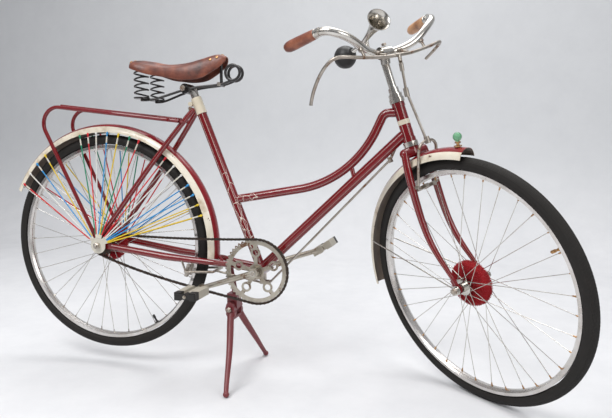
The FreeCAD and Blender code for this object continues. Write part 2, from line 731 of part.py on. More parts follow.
def handlebar(extra=0.0):
    c, gripStart, end = barEdges()
    half = sweep(Part.Wire([c.toShape()]), BAR_RADIUS + extra, Y)
    straight = rod(gripStart, gripStart + (end - gripStart) * 0.965, BAR_RADIUS + extra)
    centre = drum(st(889, 0, 965), BAR_RADIUS + extra, -barY(16), barY(16))
    halves = [centre]
    for side in (-1, 1):
        halves += [mirrored(half, side), mirrored(straight, side)]
    return halves[0].multiFuse(halves[1:])


def grip(side):
    c, start, end = barEdges()
    along = (end - start).normalize()
    sleeve = taper([(start - along * 2, 13.2), (start + along * 16, 14.6), (start + along * 70, 15.0),
                    (end - along * 6, 15.4), (end, 13.5)])
    sleeve = sleeve.cut(rod(start - along * 20, start + (end - start) * 0.968, BAR_RADIUS + FIT))
    return mirrored(sleeve, side)


def brakeLevers():
    pieces = [drum(st(944, 0, 957), 5.0, -16, 16), rod(st(944, 0, 957), st(957, -10, 939), 5.0)]
    for side in (-1, 1):
        pieces.append(curvedBar([st(944, side * 13, 957), st(936, side * barY(90), 961),
                                 st(930, side * barY(150), 969), st(914, side * barY(197), 972),
                                 st(882, side * barY(219), 950 + side * 8),
                                 st(830 - side * 8, side * barY(234), 892 + side * 33)], 4.6))
        for y, bx, bz in ((40, 895, 967), (112, 913, 995)):
            a, b = st(bx, side * barY(y), bz), st(939 - y * 0.05, side * barY(y), 959 + y * 0.035)
            along = (b - a).normalize()
            pieces.append(rod(a + along * 8.5, b, 4.0))
            pieces.append(rod(a + along * 8.5, a + along * 17, 7.5))
    return joined(pieces[0], *pieces[1:]).cut(handlebar(0.2))


def hornStations():
    return [(st(848, -79, 981), 7.0), (st(872, -75, 991), 6.0), (st(900, -73, 1009), 7.0),
             (st(924, -74, 1026), 10.5), (st(944, -77, 1039), 16.5), (st(959, -81, 1048), 24.0),
             (st(966, -83, 1052), 31.0)]


def hornTrumpet():
    outer = hornStations()
    inner = [(p, r - 1.7) for p, r in outer[2:]]
    last, r = inner[-1]
    step = (last - inner[-2][0]).normalize()
    inner.append((last + step * 4, r + 9))
    body = taper(outer).cut(taper(inner))
    post = joined(rod(st(903, -73, 981), st(901, -73, 1004), 5.5))
    return joined(body, post).cut(handlebar(0.2))


def hornBulb():
    bulb = Part.makeSphere(32.0, st(815, -80, 967))
    neck = rod(st(838, -80, 977), st(850, -79, 982), 11.0)
    return joined(bulb, neck).cut(taper(hornStations()[:3]))


def frontBrakeRod():
    path = bentBar([st(958, -10, 939), st(969, -10, 862), st(1016, 0, 738)], [60.0], 3.5)
    knob = joined(rod(st(967, -10, 870), st(972, -10, 847), 7.0), rod(st(957.5, -10, 936), st(961, -10, 915), 6.0))
    return joined(path, knob).cut(brakeLeverKeep())


def brakeLeverKeep():
    return rod(st(944, 0, 957), st(957, -10, 939), 5.0 + FIT).fuse(Part.makeSphere(5.05, st(957, -10, 939)))


def frontBrakeStirrup():
    legs = bentBar([st(1009, -34.3, 596), st(1024, -34.3, 729), st(1024, 34.3, 729), st(1009, 34.3, 596)],
                   [27.0, 27.0], 4.0)
    pieces = [legs, rod(st(1020, 0, 739), st(1026, 0, 721), 7.5)]
    for side in (-1, 1):
        padAt = around(frontAxle, WHEEL_RADIUS - 59, 118.5)
        shoe = box(padAt.x - 20, padAt.x + 20, *sorted((side * 7.5, side * 20)), padAt.z - 5, padAt.z + 5)
        shoe.rotate(padAt, Y, -28.5)
        pieces += [shoe, rod(padAt + V(0, side * 14, 0), st(1009, side * 34.3, 598), 3.5)]
        pieces.append(rod(st(1010, side * 34.3, 606), st(1009, side * 42, 606), 5.0))
    stirrup = joined(pieces[0], *pieces[1:])
    stirrup = stirrup.cut(blade(-1)).cut(blade(1))
    rodEnd = rod(st(969, -10, 862), st(1016, 0, 738), 3.5 + FIT)
    return max(stirrup.cut(rodEnd).Solids, key=lambda s: s.Volume)


# ---- Everything in its place ----
leather = saddleLeather()
frameNodes = {
    "head_tube": headTube, "headset_cups": headsetCups, "top_tube": topTube, "down_tube": downTube,
    "seat_tube": seatTube, "bottom_bracket_shell": bracketShell, "chain_stays": chainStays,
    "seat_stays": seatStays, "seat_post": seatPost, "saddle_leather": lambda: leather,
    "saddle_chassis": lambda: saddleChassis(leather), "saddle_springs": saddleSprings,
    "rear_mudguard": rearMudguard, "rear_mudguard_stays": rearMudguardStays, "rear_rack": rearRack,
    "skirt_guard_right": lambda: skirtGuard(-1), "skirt_guard_left": lambda: skirtGuard(1),
    "rear_axle": rearAxleBar, "chain": chain, "stand_bracket": standBracket,
    "rear_brake_rod": rearBrakeRod, "rear_brake_stirrup": rearBrakeStirrup,
    "stand_legs": standLegs,
    "rear_tyre": lambda: tyre(rearAxle), "rear_rim": lambda: rim(rearAxle),
    "rear_hub": lambda: hub(rearAxle, 28.0, 31.0, 26.0, 17.0, 50.0, 50.0),
    "rear_hub_duster": lambda: hubDuster(rearAxle, 17.2, 58.0, 15.0), "sprocket": sprocket,
    "crank_spindle": crankSpindle, "chainring": chainring, "crank_right": lambda: crank(-1),
    "crank_left": lambda: crank(1), "pedal_right": lambda: pedal(-1), "pedal_left": lambda: pedal(1),
}
steeredNodes = {
    "fork": fork, "headset_locknut": locknut, "stem": stem, "handlebar": handlebar,
    "grip_right": lambda: grip(-1), "grip_left": lambda: grip(1), "brake_levers": brakeLevers,
    "horn_trumpet": hornTrumpet, "horn_bulb": hornBulb, "front_brake_rod": frontBrakeRod,
    "front_brake_stirrup": frontBrakeStirrup, "front_mudguard": frontMudguard,
    "front_mudguard_stays": frontMudguardStays, "ornament_stem": ornamentStem,
    "ornament_ball": ornamentBall, "front_axle": frontAxleBar, "front_tyre": lambda: tyre(frontAxle),
    "front_rim": lambda: rim(frontAxle),
    "front_hub": lambda: hub(frontAxle, 23.0, 32.0, 32.0, 13.0, 46.0, 46.0),
    "front_hub_duster": lambda: hubDuster(frontAxle, 13.2, 64.0, 17.0),
}

shapes = {}
for name, make in frameNodes.items():
    shapes[name] = make()
for name, make in steeredNodes.items():
    shape = make()
    shape.rotate(headFoot, headUp, STEER_TURN)
    shapes[name] = shape

everything = FreeCAD.BoundBox()
for shape in shapes.values():
    everything.add(shape.optimalBoundingBox(False))
origin = V(everything.Center.x, everything.Center.y, everything.ZMin)

os.makedirs("parts", exist_ok=True)
for name, shape in shapes.items():
    shape.translate(V(-origin.x, -origin.y, -origin.z))
    shape.exportStep("parts/" + name + ".step")
    print(name, len(shape.Solids), shape.isValid(), round(shape.Volume / 1000.0, 1))
print("origin", [round(c, 3) for c in origin], "size",
      [round(v, 1) for v in (everything.XLength, everything.YLength, everything.ZLength)])
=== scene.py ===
import bpy, json, math
from mathutils import Matrix, Vector


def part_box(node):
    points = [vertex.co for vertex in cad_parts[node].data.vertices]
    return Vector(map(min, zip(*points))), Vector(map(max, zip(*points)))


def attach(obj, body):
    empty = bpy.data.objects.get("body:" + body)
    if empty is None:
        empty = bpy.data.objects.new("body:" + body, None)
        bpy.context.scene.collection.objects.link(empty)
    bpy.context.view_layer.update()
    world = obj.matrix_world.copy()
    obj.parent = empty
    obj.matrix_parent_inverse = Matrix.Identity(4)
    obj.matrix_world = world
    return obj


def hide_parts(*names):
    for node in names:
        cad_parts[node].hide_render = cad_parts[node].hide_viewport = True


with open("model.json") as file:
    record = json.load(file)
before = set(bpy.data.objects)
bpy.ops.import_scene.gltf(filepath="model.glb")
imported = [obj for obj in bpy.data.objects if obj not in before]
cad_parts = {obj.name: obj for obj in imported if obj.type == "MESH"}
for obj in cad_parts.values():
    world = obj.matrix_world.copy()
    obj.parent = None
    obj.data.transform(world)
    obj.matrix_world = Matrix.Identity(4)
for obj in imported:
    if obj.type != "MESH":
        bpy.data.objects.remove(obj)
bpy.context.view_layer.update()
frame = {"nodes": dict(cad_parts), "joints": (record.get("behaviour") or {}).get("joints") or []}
nodes = frame["nodes"]
joints = {j["name"]: j for j in frame["joints"]}
print("frame loaded", len(nodes), "nodes")

rearHub = Vector(joints["rear_wheel_spin"]["pos_m"])
frontHub = Vector(joints["front_wheel_spin"]["pos_m"])
frontAxis = Vector(joints["front_wheel_spin"]["axis"]).normalized()
crankCentre = Vector(joints["crank_spin"]["pos_m"])
steerPoint = Vector(joints["steer"]["pos_m"])
steerAxis = Vector(joints["steer"]["axis"]).normalized()
across = Vector((0, 1, 0))
steerDegrees = -41.5
rearAxle, frontAxle = (0, 400.5), (1145.4, 345.4)  # along and up in mm, with the wheel straight


def node(tree, kind, settings=None, inputs=None):
    made = tree.nodes.new(kind)
    for key, value in (settings or {}).items():
        setattr(made, key, value)
    for key, value in (inputs or {}).items():
        if isinstance(value, bpy.types.NodeSocket):
            tree.links.new(value, made.inputs[key])
        else:
            made.inputs[key].default_value = value
    return made


def maths(tree, operation, a, b=0.0, clamp=False):
    return node(tree, "ShaderNodeMath", {"operation": operation, "use_clamp": clamp}, {0: a, 1: b}).outputs[0]


def times(tree, a, b, clamp=False):
    return maths(tree, "MULTIPLY", a, b, clamp)


def plus(tree, a, b, clamp=False):
    return maths(tree, "ADD", a, b, clamp)


def minus(tree, a, b, clamp=False):
    return maths(tree, "SUBTRACT", a, b, clamp)


def rising(tree, value, edge, slope):
    # 0 up to the edge, then climbing to 1
    return times(tree, minus(tree, value, edge), slope, True)


def falling(tree, value, edge, slope):
    # 1 well before the edge, 0 from it on
    return times(tree, minus(tree, edge, value), slope, True)


def mixColour(tree, factor, a, b, blend="MIX"):
    return node(tree, "ShaderNodeMix", {"data_type": "RGBA", "blend_type": blend}, {0: factor, 6: a, 7: b}).outputs[2]


def ramp(tree, factor, stops, interpolation="LINEAR"):
    made = node(tree, "ShaderNodeValToRGB", None, {0: factor})
    made.color_ramp.interpolation = interpolation
    elements = made.color_ramp.elements
    while len(elements) < len(stops):
        elements.new(0.5)
    for element, (place, colour) in zip(elements, stops):
        element.position = place
        element.color = colour
    return made.outputs[0]


def noise(tree, vector, scale, detail=3.0, roughness=0.5):
    return node(tree, "ShaderNodeTexNoise", None,
                {"Vector": vector, "Scale": scale, "Detail": detail, "Roughness": roughness}).outputs[0]


def rgba(colour):
    return (*colour, 1.0)


def buildGroup(name, inputs, outputs):
    group = bpy.data.node_groups.new(name, "ShaderNodeTree")
    for label, kind, value in inputs:
        socket = group.interface.new_socket(name=label, in_out="INPUT", socket_type=kind)
        if value is not None:
            socket.default_value = value
    for label, kind in outputs:
        group.interface.new_socket(name=label, in_out="OUTPUT", socket_type=kind)
    return group, group.nodes.new("NodeGroupInput").outputs, group.nodes.new("NodeGroupOutput").inputs


# patches of wear, rust or dirt: two noises added together and cut at a level
patches, given, result = buildGroup(
    "patches", [("Vector", "NodeSocketVector", None), ("Scale", "NodeSocketFloat", 20.0),
                ("Amount", "NodeSocketFloat", 0.3), ("Softness", "NodeSocketFloat", 0.08)],
    [("Mask", "NodeSocketFloat")])
broad = noise(patches, given["Vector"], given["Scale"], 6.0, 0.62)
fineScale = times(patches, given["Scale"], 6.3)
fine = noise(patches, given["Vector"], fineScale, 4.0, 0.6)
speckle = plus(patches, times(patches, broad, 0.68), times(patches, fine, 0.32))
level = minus(patches, 0.72, times(patches, given["Amount"], 0.36))
above = minus(patches, speckle, level)
mask = maths(patches, "DIVIDE", above, given["Softness"], True)
patches.links.new(mask, result["Mask"])

# dust that lies on what faces up
dust, given, result = buildGroup(
    "dust", [("Vector", "NodeSocketVector", None), ("Amount", "NodeSocketFloat", 0.3)], [("Mask", "NodeSocketFloat")])
facing = node(dust, "ShaderNodeSeparateXYZ", None, {0: node(dust, "ShaderNodeTexCoord").outputs["Normal"]})
upward = maths(dust, "MAXIMUM", facing.outputs[2], 0.0)
cloud = noise(dust, given["Vector"], 9.0, 5.0, 0.65)
lying = times(dust, plus(dust, times(dust, upward, 0.8), 0.2), cloud)
dust.links.new(times(dust, lying, given["Amount"], True), result["Mask"])

# a mudguard's painted crown and its bare inside, from the wheel's centre and axle
guardZones, given, result = buildGroup(
    "guardZones", [("Vector", "NodeSocketVector", None), ("Centre", "NodeSocketVector", None),
                   ("Axle", "NodeSocketVector", None), ("Ring", "NodeSocketFloat", 0.353),
                   ("Crown", "NodeSocketFloat", 0.012)],
    [("Crown", "NodeSocketFloat"), ("Inside", "NodeSocketFloat"), ("Along", "NodeSocketFloat")])
reach = node(guardZones, "ShaderNodeVectorMath", {"operation": "SUBTRACT"},
             {0: given["Vector"], 1: given["Centre"]}).outputs[0]
aside = node(guardZones, "ShaderNodeVectorMath", {"operation": "DOT_PRODUCT"},
             {0: reach, 1: given["Axle"]}).outputs[1]
length = node(guardZones, "ShaderNodeVectorMath", {"operation": "LENGTH"}, {0: reach}).outputs[1]
asideSquared = times(guardZones, aside, aside)
radial = maths(guardZones, "SQRT", minus(guardZones, times(guardZones, length, length), asideSquared))
overRing = minus(guardZones, radial, given["Ring"])
section = maths(guardZones, "SQRT", plus(guardZones, times(guardZones, overRing, overRing), asideSquared))
crownEdge = minus(guardZones, given["Crown"], maths(guardZones, "ABSOLUTE", aside))
guardZones.links.new(times(guardZones, crownEdge, 2500.0, True), result["Crown"])
innerEdge = minus(guardZones, 0.0283, section)
guardZones.links.new(times(guardZones, innerEdge, 4000.0, True), result["Inside"])
guardZones.links.new(radial, result["Along"])


def placeGroup(tree, group, inputs):
    return node(tree, "ShaderNodeGroup", {"node_tree": group}, inputs).outputs


def startMaterial(name):
    made = bpy.data.materials.new(name)
    made.use_nodes = True
    tree = made.node_tree
    tree.nodes.clear()
    shader = node(tree, "ShaderNodeBsdfPrincipled")
    node(tree, "ShaderNodeOutputMaterial", None, {"Surface": shader.outputs[0]})
    place = node(tree, "ShaderNodeTexCoord").outputs["Object"]
    return made, tree, shader, place


def setSurface(tree, shader, values):
    for key, value in values.items():
        if isinstance(value, bpy.types.NodeSocket):
            tree.links.new(value, shader.inputs[key])
        else:
            shader.inputs[key].default_value = value


def bumpFrom(tree, height, strength, distance):
    return node(tree, "ShaderNodeBump", None,
                {"Height": height, "Strength": strength, "Distance": distance}).outputs[0]


# materials
enamelValues = {
    "enamelRed": {"paint": (0.2, 0.002, 0.006), "deep": (0.085, 0.001, 0.003), "rust": (0.06, 0.02, 0.012),
                  "chips": 0.1, "dusty": 0.02, "rough": 0.17, "coat": 0.4},
    "standRed": {"paint": (0.19, 0.022, 0.028), "deep": (0.11, 0.01, 0.016), "rust": (0.1, 0.04, 0.025),
                 "chips": 0.3, "dusty": 0.12, "rough": 0.4, "coat": 0.1},
    "enamelBlack": {"paint": (0.014, 0.012, 0.012), "deep": (0.008, 0.007, 0.007), "rust": (0.09, 0.035, 0.018),
                    "chips": 0.26, "dusty": 0.06, "rough": 0.33, "coat": 0.3},
}
cream = (0.74, 0.68, 0.55)
liningValues = {"from": 0.89, "to": 0.92, "colour": (0.78, 0.72, 0.62), "wander": 0.018}

# two thin lines along each side of a tube that lies in the bicycle's plane, worn through here and there
pinLines, given, result = buildGroup(
    "pinLines", [("Vector", "NodeSocketVector", None), ("Normal", "NodeSocketVector", None)],
    [("Mask", "NodeSocketFloat")])
sideways = node(pinLines, "ShaderNodeSeparateXYZ", None, {0: given["Normal"]}).outputs[1]
hand = noise(pinLines, given["Vector"], 14.0, 2.0)
sideways = plus(pinLines, maths(pinLines, "ABSOLUTE", sideways),
                times(pinLines, minus(pinLines, hand, 0.5), liningValues["wander"]))
lower = rising(pinLines, sideways, liningValues["from"], 260.0)
upper = falling(pinLines, sideways, liningValues["to"], 260.0)
worn = node(pinLines, "ShaderNodeGroup", {"node_tree": patches},
            {"Vector": given["Vector"], "Scale": 24.0, "Amount": 0.3, "Softness": 0.03}).outputs[0]
kept = minus(pinLines, 1.0, worn, True)
pinLines.links.new(times(pinLines, times(pinLines, lower, upper), kept), result["Mask"])

# a painted band across a tube, between two places along a direction
band, given, result = buildGroup(
    "band", [("Vector", "NodeSocketVector", None), ("Along", "NodeSocketVector", None),
             ("From", "NodeSocketFloat", 0.0), ("To", "NodeSocketFloat", 1.0)], [("Mask", "NodeSocketFloat")])
along = node(band, "ShaderNodeVectorMath", {"operation": "DOT_PRODUCT"},
             {0: given["Vector"], 1: given["Along"]}).outputs[1]
begun = rising(band, along, given["From"], 1500.0)
ended = falling(band, along, given["To"], 1500.0)
band.links.new(times(band, begun, ended), result["Mask"])

crackleValues = {"cells": 30.0, "width": 0.014, "low": 0.375, "high": 0.655, "ahead": -0.008}


def enamel(name, made=None, lined=0.0, crackle=False, bands=()):
    v = enamelValues[name]
    made, tree, shader, place = startMaterial(made or name)
    mottled = noise(tree, place, 14.0, 4.0, 0.6)
    colour = mixColour(tree, times(tree, mottled, 0.75), rgba(v["paint"]), rgba(v["deep"]))
    if lined:
        normal = node(tree, "ShaderNodeTexCoord").outputs["Normal"]
        lines = placeGroup(tree, pinLines, {"Vector": place, "Normal": normal})[0]
        colour = mixColour(tree, times(tree, lines, lined), colour, rgba(liningValues["colour"]))
    if crackle:
        c = crackleValues
        stretched = node(tree, "ShaderNodeMapping", None, {"Vector": place, "Scale": (1.0, 1.4, 0.42)}).outputs[0]
        wander = node(tree, "ShaderNodeTexNoise", None, {"Vector": place, "Scale": 30.0}).outputs[1]
        wander = node(tree, "ShaderNodeVectorMath", {"operation": "SCALE"}, {0: wander, "Scale": 0.02}).outputs[0]
        warped = node(tree, "ShaderNodeVectorMath", {"operation": "ADD"}, {0: stretched, 1: wander}).outputs[0]
        cells = node(tree, "ShaderNodeTexVoronoi", {"feature": "DISTANCE_TO_EDGE"},
                     {"Vector": warped, "Scale": c["cells"]}).outputs[0]
        lining = falling(tree, cells, c["width"], 150.0)
        parted = node(tree, "ShaderNodeSeparateXYZ", None, {0: place}).outputs
        low = rising(tree, parted[2], c["low"], 60.0)
        high = falling(tree, parted[2], c["high"], 30.0)
        ahead = falling(tree, parted[0], c["ahead"], 60.0)
        lining = times(tree, lining, times(tree, times(tree, low, high), ahead))
        colour = mixColour(tree, lining, colour, rgba(liningValues["colour"]))
    for direction, begins, ends in bands:
        painted = placeGroup(tree, band, {"Vector": place, "Along": direction, "From": begins, "To": ends})[0]
        aged = mixColour(tree, noise(tree, place, 30.0, 5.0), rgba(cream), (0.55, 0.47, 0.34, 1))
        colour = mixColour(tree, painted, colour, aged)
    chip = placeGroup(tree, patches, {"Vector": place, "Scale": 34.0, "Amount": v["chips"], "Softness": 0.02})[0]
    colour = mixColour(tree, chip, colour, rgba(v["rust"]))
    lying = placeGroup(tree, dust, {"Vector": place, "Amount": v["dusty"]})[0]
    colour = mixColour(tree, lying, colour, (0.42, 0.36, 0.31, 1))
    rough = plus(tree, times(tree, noise(tree, place, 55.0, 3.0), 0.14),
                 plus(tree, v["rough"] - 0.06, times(tree, chip, 0.4)))
    height = minus(tree, times(tree, noise(tree, place, 90.0, 2.0), 0.12), chip)
    setSurface(tree, shader, {"Base Color": colour, "Roughness": rough, "Normal": bumpFrom(tree, height, 0.35, 0.0004),
                              "Coat Weight": v["coat"], "Coat Roughness": 0.12})
    return made


metalValues = {
    "chromeOld": {"bright": (0.66, 0.64, 0.6), "dull": (0.4, 0.36, 0.31), "rust": (0.16, 0.07, 0.03),
                  "pits": 0.3, "scale": 45.0, "rough": 0.17},
    "chromeRusty": {"bright": (0.46, 0.42, 0.37), "dull": (0.25, 0.2, 0.16), "rust": (0.17, 0.075, 0.035),
                    "pits": 0.42, "scale": 38.0, "rough": 0.3},
    "rimSteel": {"bright": (0.7, 0.68, 0.66), "dull": (0.48, 0.44, 0.4), "rust": (0.2, 0.1, 0.06),
                 "pits": 0.2, "scale": 30.0, "rough": 0.2},
    "ringSteel": {"bright": (0.5, 0.46, 0.39), "dull": (0.27, 0.23, 0.18), "rust": (0.13, 0.06, 0.03),
                  "pits": 0.44, "scale": 32.0, "rough": 0.3},
    "chainSteel": {"bright": (0.075, 0.06, 0.052), "dull": (0.03, 0.024, 0.02), "rust": (0.07, 0.03, 0.014),
                   "pits": 0.5, "scale": 80.0, "rough": 0.4},
    "brassOld": {"bright": (0.5, 0.29, 0.13), "dull": (0.28, 0.15, 0.07), "rust": (0.08, 0.07, 0.04),
                 "pits": 0.34, "scale": 60.0, "rough": 0.27},
}


def metal(name):
    v = metalValues[name]
    made, tree, shader, place = startMaterial(name)
    worn = noise(tree, place, v["scale"] * 0.5, 6.0, 0.65)
    colour = mixColour(tree, rising(tree, worn, 0.38, 2.6), rgba(v["bright"]), rgba(v["dull"]))
    pit = placeGroup(tree, patches, {"Vector": place, "Scale": v["scale"], "Amount": v["pits"], "Softness": 0.05})[0]
    colour = mixColour(tree, pit, colour, rgba(v["rust"]))
    rough = plus(tree, plus(tree, v["rough"] - 0.05, times(tree, worn, 0.2)), times(tree, pit, 0.4), True)
    shine = minus(tree, 1.0, times(tree, pit, 0.85), True)
    height = plus(tree, times(tree, pit, 0.6), times(tree, worn, 0.3))
    setSurface(tree, shader, {"Base Color": colour, "Roughness": rough, "Metallic": shine,
                              "Normal": bumpFrom(tree, height, 0.25, 0.0003)})
    return made


softValues = {
    "tyreRubber": {"base": (0.007, 0.0065, 0.006), "other": (0.032, 0.025, 0.02), "grain": 210.0, "rough": 0.66,
                   "bump": 0.35, "patch": 0.36, "patchScale": 11.0},
    "bulbRubber": {"base": (0.014, 0.014, 0.015), "other": (0.05, 0.045, 0.042), "grain": 160.0, "rough": 0.42,
                   "bump": 0.12, "patch": 0.3, "patchScale": 22.0},
    "pedalCream": {"base": (0.46, 0.43, 0.36), "other": (0.22, 0.18, 0.13), "grain": 130.0, "rough": 0.5,
                   "bump": 0.25, "patch": 0.4, "patchScale": 40.0, "ends": 0.157},
    "plushRed": {"base": (0.42, 0.006, 0.014), "other": (0.2, 0.003, 0.008), "grain": 330.0, "rough": 0.95,
                 "bump": 1.0, "patch": 0.5, "patchScale": 45.0},
}
softDust = 0.05


def soft(name):
    v = softValues[name]
    made, tree, shader, place = startMaterial(name)
    grain = noise(tree, place, v["grain"], 4.0, 0.6)
    patch = placeGroup(tree, patches, {"Vector": place, "Scale": v["patchScale"], "Amount": v["patch"],
                                       "Softness": 0.16})[0]
    lying = placeGroup(tree, dust, {"Vector": place, "Amount": softDust})[0]
    colour = mixColour(tree, times(tree, patch, 0.6), rgba(v["base"]), rgba(v["other"]))
    colour = mixColour(tree, times(tree, grain, 0.35), colour, rgba(v["other"]))
    colour = mixColour(tree, lying, colour, (0.4, 0.36, 0.31, 1))
    rough = plus(tree, v["rough"] - 0.08, times(tree, grain, 0.16), True)
    if "ends" in v:
        # black rubber at the outer end of each pedal
        parted = node(tree, "ShaderNodeSeparateXYZ", None, {0: place}).outputs[1]
        out = maths(tree, "ABSOLUTE", minus(tree, parted, rearHub.y))
        ends = rising(tree, out, v["ends"], 2500.0)
        colour = mixColour(tree, ends, colour, (0.012, 0.011, 0.01, 1))
    setSurface(tree, shader, {"Base Color": colour, "Roughness": rough,
                              "Normal": bumpFrom(tree, grain, v["bump"], 0.0008)})
    if "Rubber" in name:
        setSurface(tree, shader, {"Specular IOR Level": 0.3})
    if name == "plushRed":
        setSurface(tree, shader, {"Sheen Weight": 0.6, "Sheen Roughness": 0.4, "Sheen Tint": (0.9, 0.3, 0.3, 1)})
    return made


leatherValues = {
    "saddleLeather": {"base": (0.15, 0.038, 0.02), "light": (0.27, 0.085, 0.042), "dark": (0.03, 0.009, 0.007),
                      "cells": 260.0, "rough": 0.36},
    "gripLeather": {"base": (0.2, 0.055, 0.03), "light": (0.34, 0.12, 0.06), "dark": (0.05, 0.015, 0.01),
                    "cells": 320.0, "rough": 0.34},
    "gripTan": {"base": (0.42, 0.2, 0.09), "light": (0.58, 0.32, 0.16), "dark": (0.16, 0.06, 0.03),
                "cells": 320.0, "rough": 0.42},
}


def leather(name):
    v = leatherValues[name]
    made, tree, shader, place = startMaterial(name)
    worn = noise(tree, place, 22.0, 6.0, 0.62)
    colour = ramp(tree, worn, [(0.32, rgba(v["dark"])), (0.5, rgba(v["base"])), (0.68, rgba(v["light"]))])
    scuffs = placeGroup(tree, patches, {"Vector": place, "Scale": 70.0, "Amount": 0.3, "Softness": 0.05})[0]
    colour = mixColour(tree, times(tree, scuffs, 0.6), colour, rgba(v["dark"]))
    cells = node(tree, "ShaderNodeTexVoronoi", {"feature": "DISTANCE_TO_EDGE"},
                 {"Vector": place, "Scale": v["cells"]}).outputs[0]
    pores = times(tree, cells, 6.0, True)
    rough = plus(tree, v["rough"] - 0.08, times(tree, worn, 0.24), True)
    setSurface(tree, shader, {"Base Color": colour, "Roughness": rough, "Coat Weight": 0.15, "Coat Roughness": 0.3,
                              "Normal": bumpFrom(tree, pores, 0.4, 0.0003)})
    return made


guardValues = {"rearRing": 0.3529, "frontRing": 0.3499, "frontShift": (-0.005, 0, -0.006), "crown": 0.0205}


def mudguardPaint(name, centre, axle, ringRadius):
    made, tree, shader, place = startMaterial(name)
    zones = placeGroup(tree, guardZones, {"Vector": place, "Centre": centre, "Axle": axle, "Ring": ringRadius,
                                          "Crown": guardValues["crown"]})
    aged = noise(tree, place, 17.0, 6.0, 0.65)
    cream = ramp(tree, aged, [(0.3, (0.5, 0.4, 0.28, 1)), (0.48, (0.74, 0.67, 0.54, 1)), (0.7, (0.8, 0.75, 0.64, 1))])
    red = mixColour(tree, aged, (0.27, 0.01, 0.016, 1), (0.17, 0.005, 0.01, 1))
    colour = mixColour(tree, zones["Crown"], cream, red)
    inside = mixColour(tree, aged, (0.24, 0.19, 0.15, 1), (0.1, 0.075, 0.06, 1))
    colour = mixColour(tree, zones["Inside"], colour, inside)
    chip = placeGroup(tree, patches, {"Vector": place, "Scale": 30.0, "Amount": 0.24, "Softness": 0.02})[0]
    colour = mixColour(tree, chip, colour, (0.12, 0.05, 0.025, 1))
    rough = plus(tree, 0.24, times(tree, maths(tree, "MAXIMUM", zones["Inside"], chip), 0.45))
    setSurface(tree, shader, {"Base Color": colour, "Roughness": rough, "Coat Weight": 0.35, "Coat Roughness": 0.15,
                              "Normal": bumpFrom(tree, minus(tree, aged, chip), 0.25, 0.0003)})
    return made


glassValues = {"colour": (0.12, 0.42, 0.2), "rough": 0.06, "ior": 1.5}


def greenGlass():
    made, tree, shader, place = startMaterial("greenGlass")
    streak = noise(tree, place, 120.0, 2.0)
    colour = mixColour(tree, streak, rgba(glassValues["colour"]), (0.32, 0.6, 0.38, 1))
    setSurface(tree, shader, {"Base Color": colour, "Roughness": glassValues["rough"], "IOR": glassValues["ior"],
                              "Transmission Weight": 0.55})
    return made


red, white, blue, yellow, green = ((0.72, 0.008, 0.02), (0.86, 0.85, 0.8), (0.03, 0.33, 0.72), (0.88, 0.62, 0.02),
                                   (0.0, 0.27, 0.14))
cordColours = [(148, red), (141, white), (134, blue), (127, yellow), (103, green), (98, red), (93, white), (86.5, blue),
               (80, yellow), (73.5, green), (68, red), (51, red), (45, white), (39, white), (33, blue), (27.5, blue),
               (22, yellow), (16.5, yellow)]
cordZones = {"eye": 0.036, "sleeveFrom": 0.322, "sleeveTo": 0.343, "colour": (0.74, 0.7, 0.6)}


def cordPaint():
    made, tree, shader, place = startMaterial("guardCords")
    z = cordZones
    centred = node(tree, "ShaderNodeVectorMath", {"operation": "SUBTRACT"}, {0: place, 1: rearHub}).outputs[0]
    parts = node(tree, "ShaderNodeSeparateXYZ", None, {0: centred}).outputs
    angle = maths(tree, "DIVIDE", maths(tree, "ARCTAN2", parts[2], parts[0]), math.pi)
    stops = []
    previous = -200.0
    for degrees, colour in sorted(cordColours):
        stops.append((max(0.0, (previous + degrees) / 360.0), rgba(colour)))
        previous = degrees
    colour = ramp(tree, angle, stops, "CONSTANT")
    radius = maths(tree, "SQRT", plus(tree, times(tree, parts[0], parts[0]), times(tree, parts[2], parts[2])))
    sleeve = times(tree, rising(tree, radius, z["sleeveFrom"], 900.0), falling(tree, radius, z["sleeveTo"], 900.0))
    ring = falling(tree, radius, z["eye"], 900.0)
    colour = mixColour(tree, maths(tree, "MAXIMUM", sleeve, ring), colour, rgba(z["colour"]))
    weave = node(tree, "ShaderNodeTexWave", None, {"Vector": place, "Scale": 420.0, "Distortion": 2.0}).outputs[1]
    colour = mixColour(tree, times(tree, weave, 0.3), colour, (0.1, 0.08, 0.07, 1))
    setSurface(tree, shader, {"Base Color": colour, "Roughness": 0.7, "Normal": bumpFrom(tree, weave, 0.5, 0.0004)})
    return made


materials = {name: enamel(name) for name in enamelValues}
bandValues = {"seatTop": (-0.2160, 0, 0.8559), "lugFrom": 0.504, "lugLength": 0.09, "headRise": 0.012,
              "headHalf": 0.007}
seatAlong = (Vector(bandValues["seatTop"]) - Vector((crankCentre.x, 0, crankCentre.z))).normalized()
lugStart = seatAlong.dot(crankCentre) + bandValues["lugFrom"]
headLow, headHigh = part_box("head_tube")
headMiddle = steerAxis.dot(steerPoint) + bandValues["headRise"]
materials["enamelLined"] = enamel("enamelRed", "enamelLined", lined=0.3)
materials["seatTubePaint"] = enamel("enamelRed", "seatTubePaint", lined=0.95, crackle=True,
                                    bands=[(seatAlong, lugStart, lugStart + bandValues["lugLength"])])
materials["topTubePaint"] = enamel("enamelRed", "topTubePaint", lined=0.4, crackle=True)
materials["headTubePaint"] = enamel("enamelRed", "headTubePaint", lined=0.5,
                                    bands=[(steerAxis, headMiddle - bandValues["headHalf"],
                                            headMiddle + bandValues["headHalf"])])
materials.update({name: metal(name) for name in metalValues})
materials.update({name: soft(name) for name in softValues})
materials.update({name: leather(name) for name in leatherValues})
materials["greenGlass"] = greenGlass()
materials["guardCords"] = cordPaint()
materials["rearGuard"] = mudguardPaint("rearGuard", rearHub, across, guardValues["rearRing"])
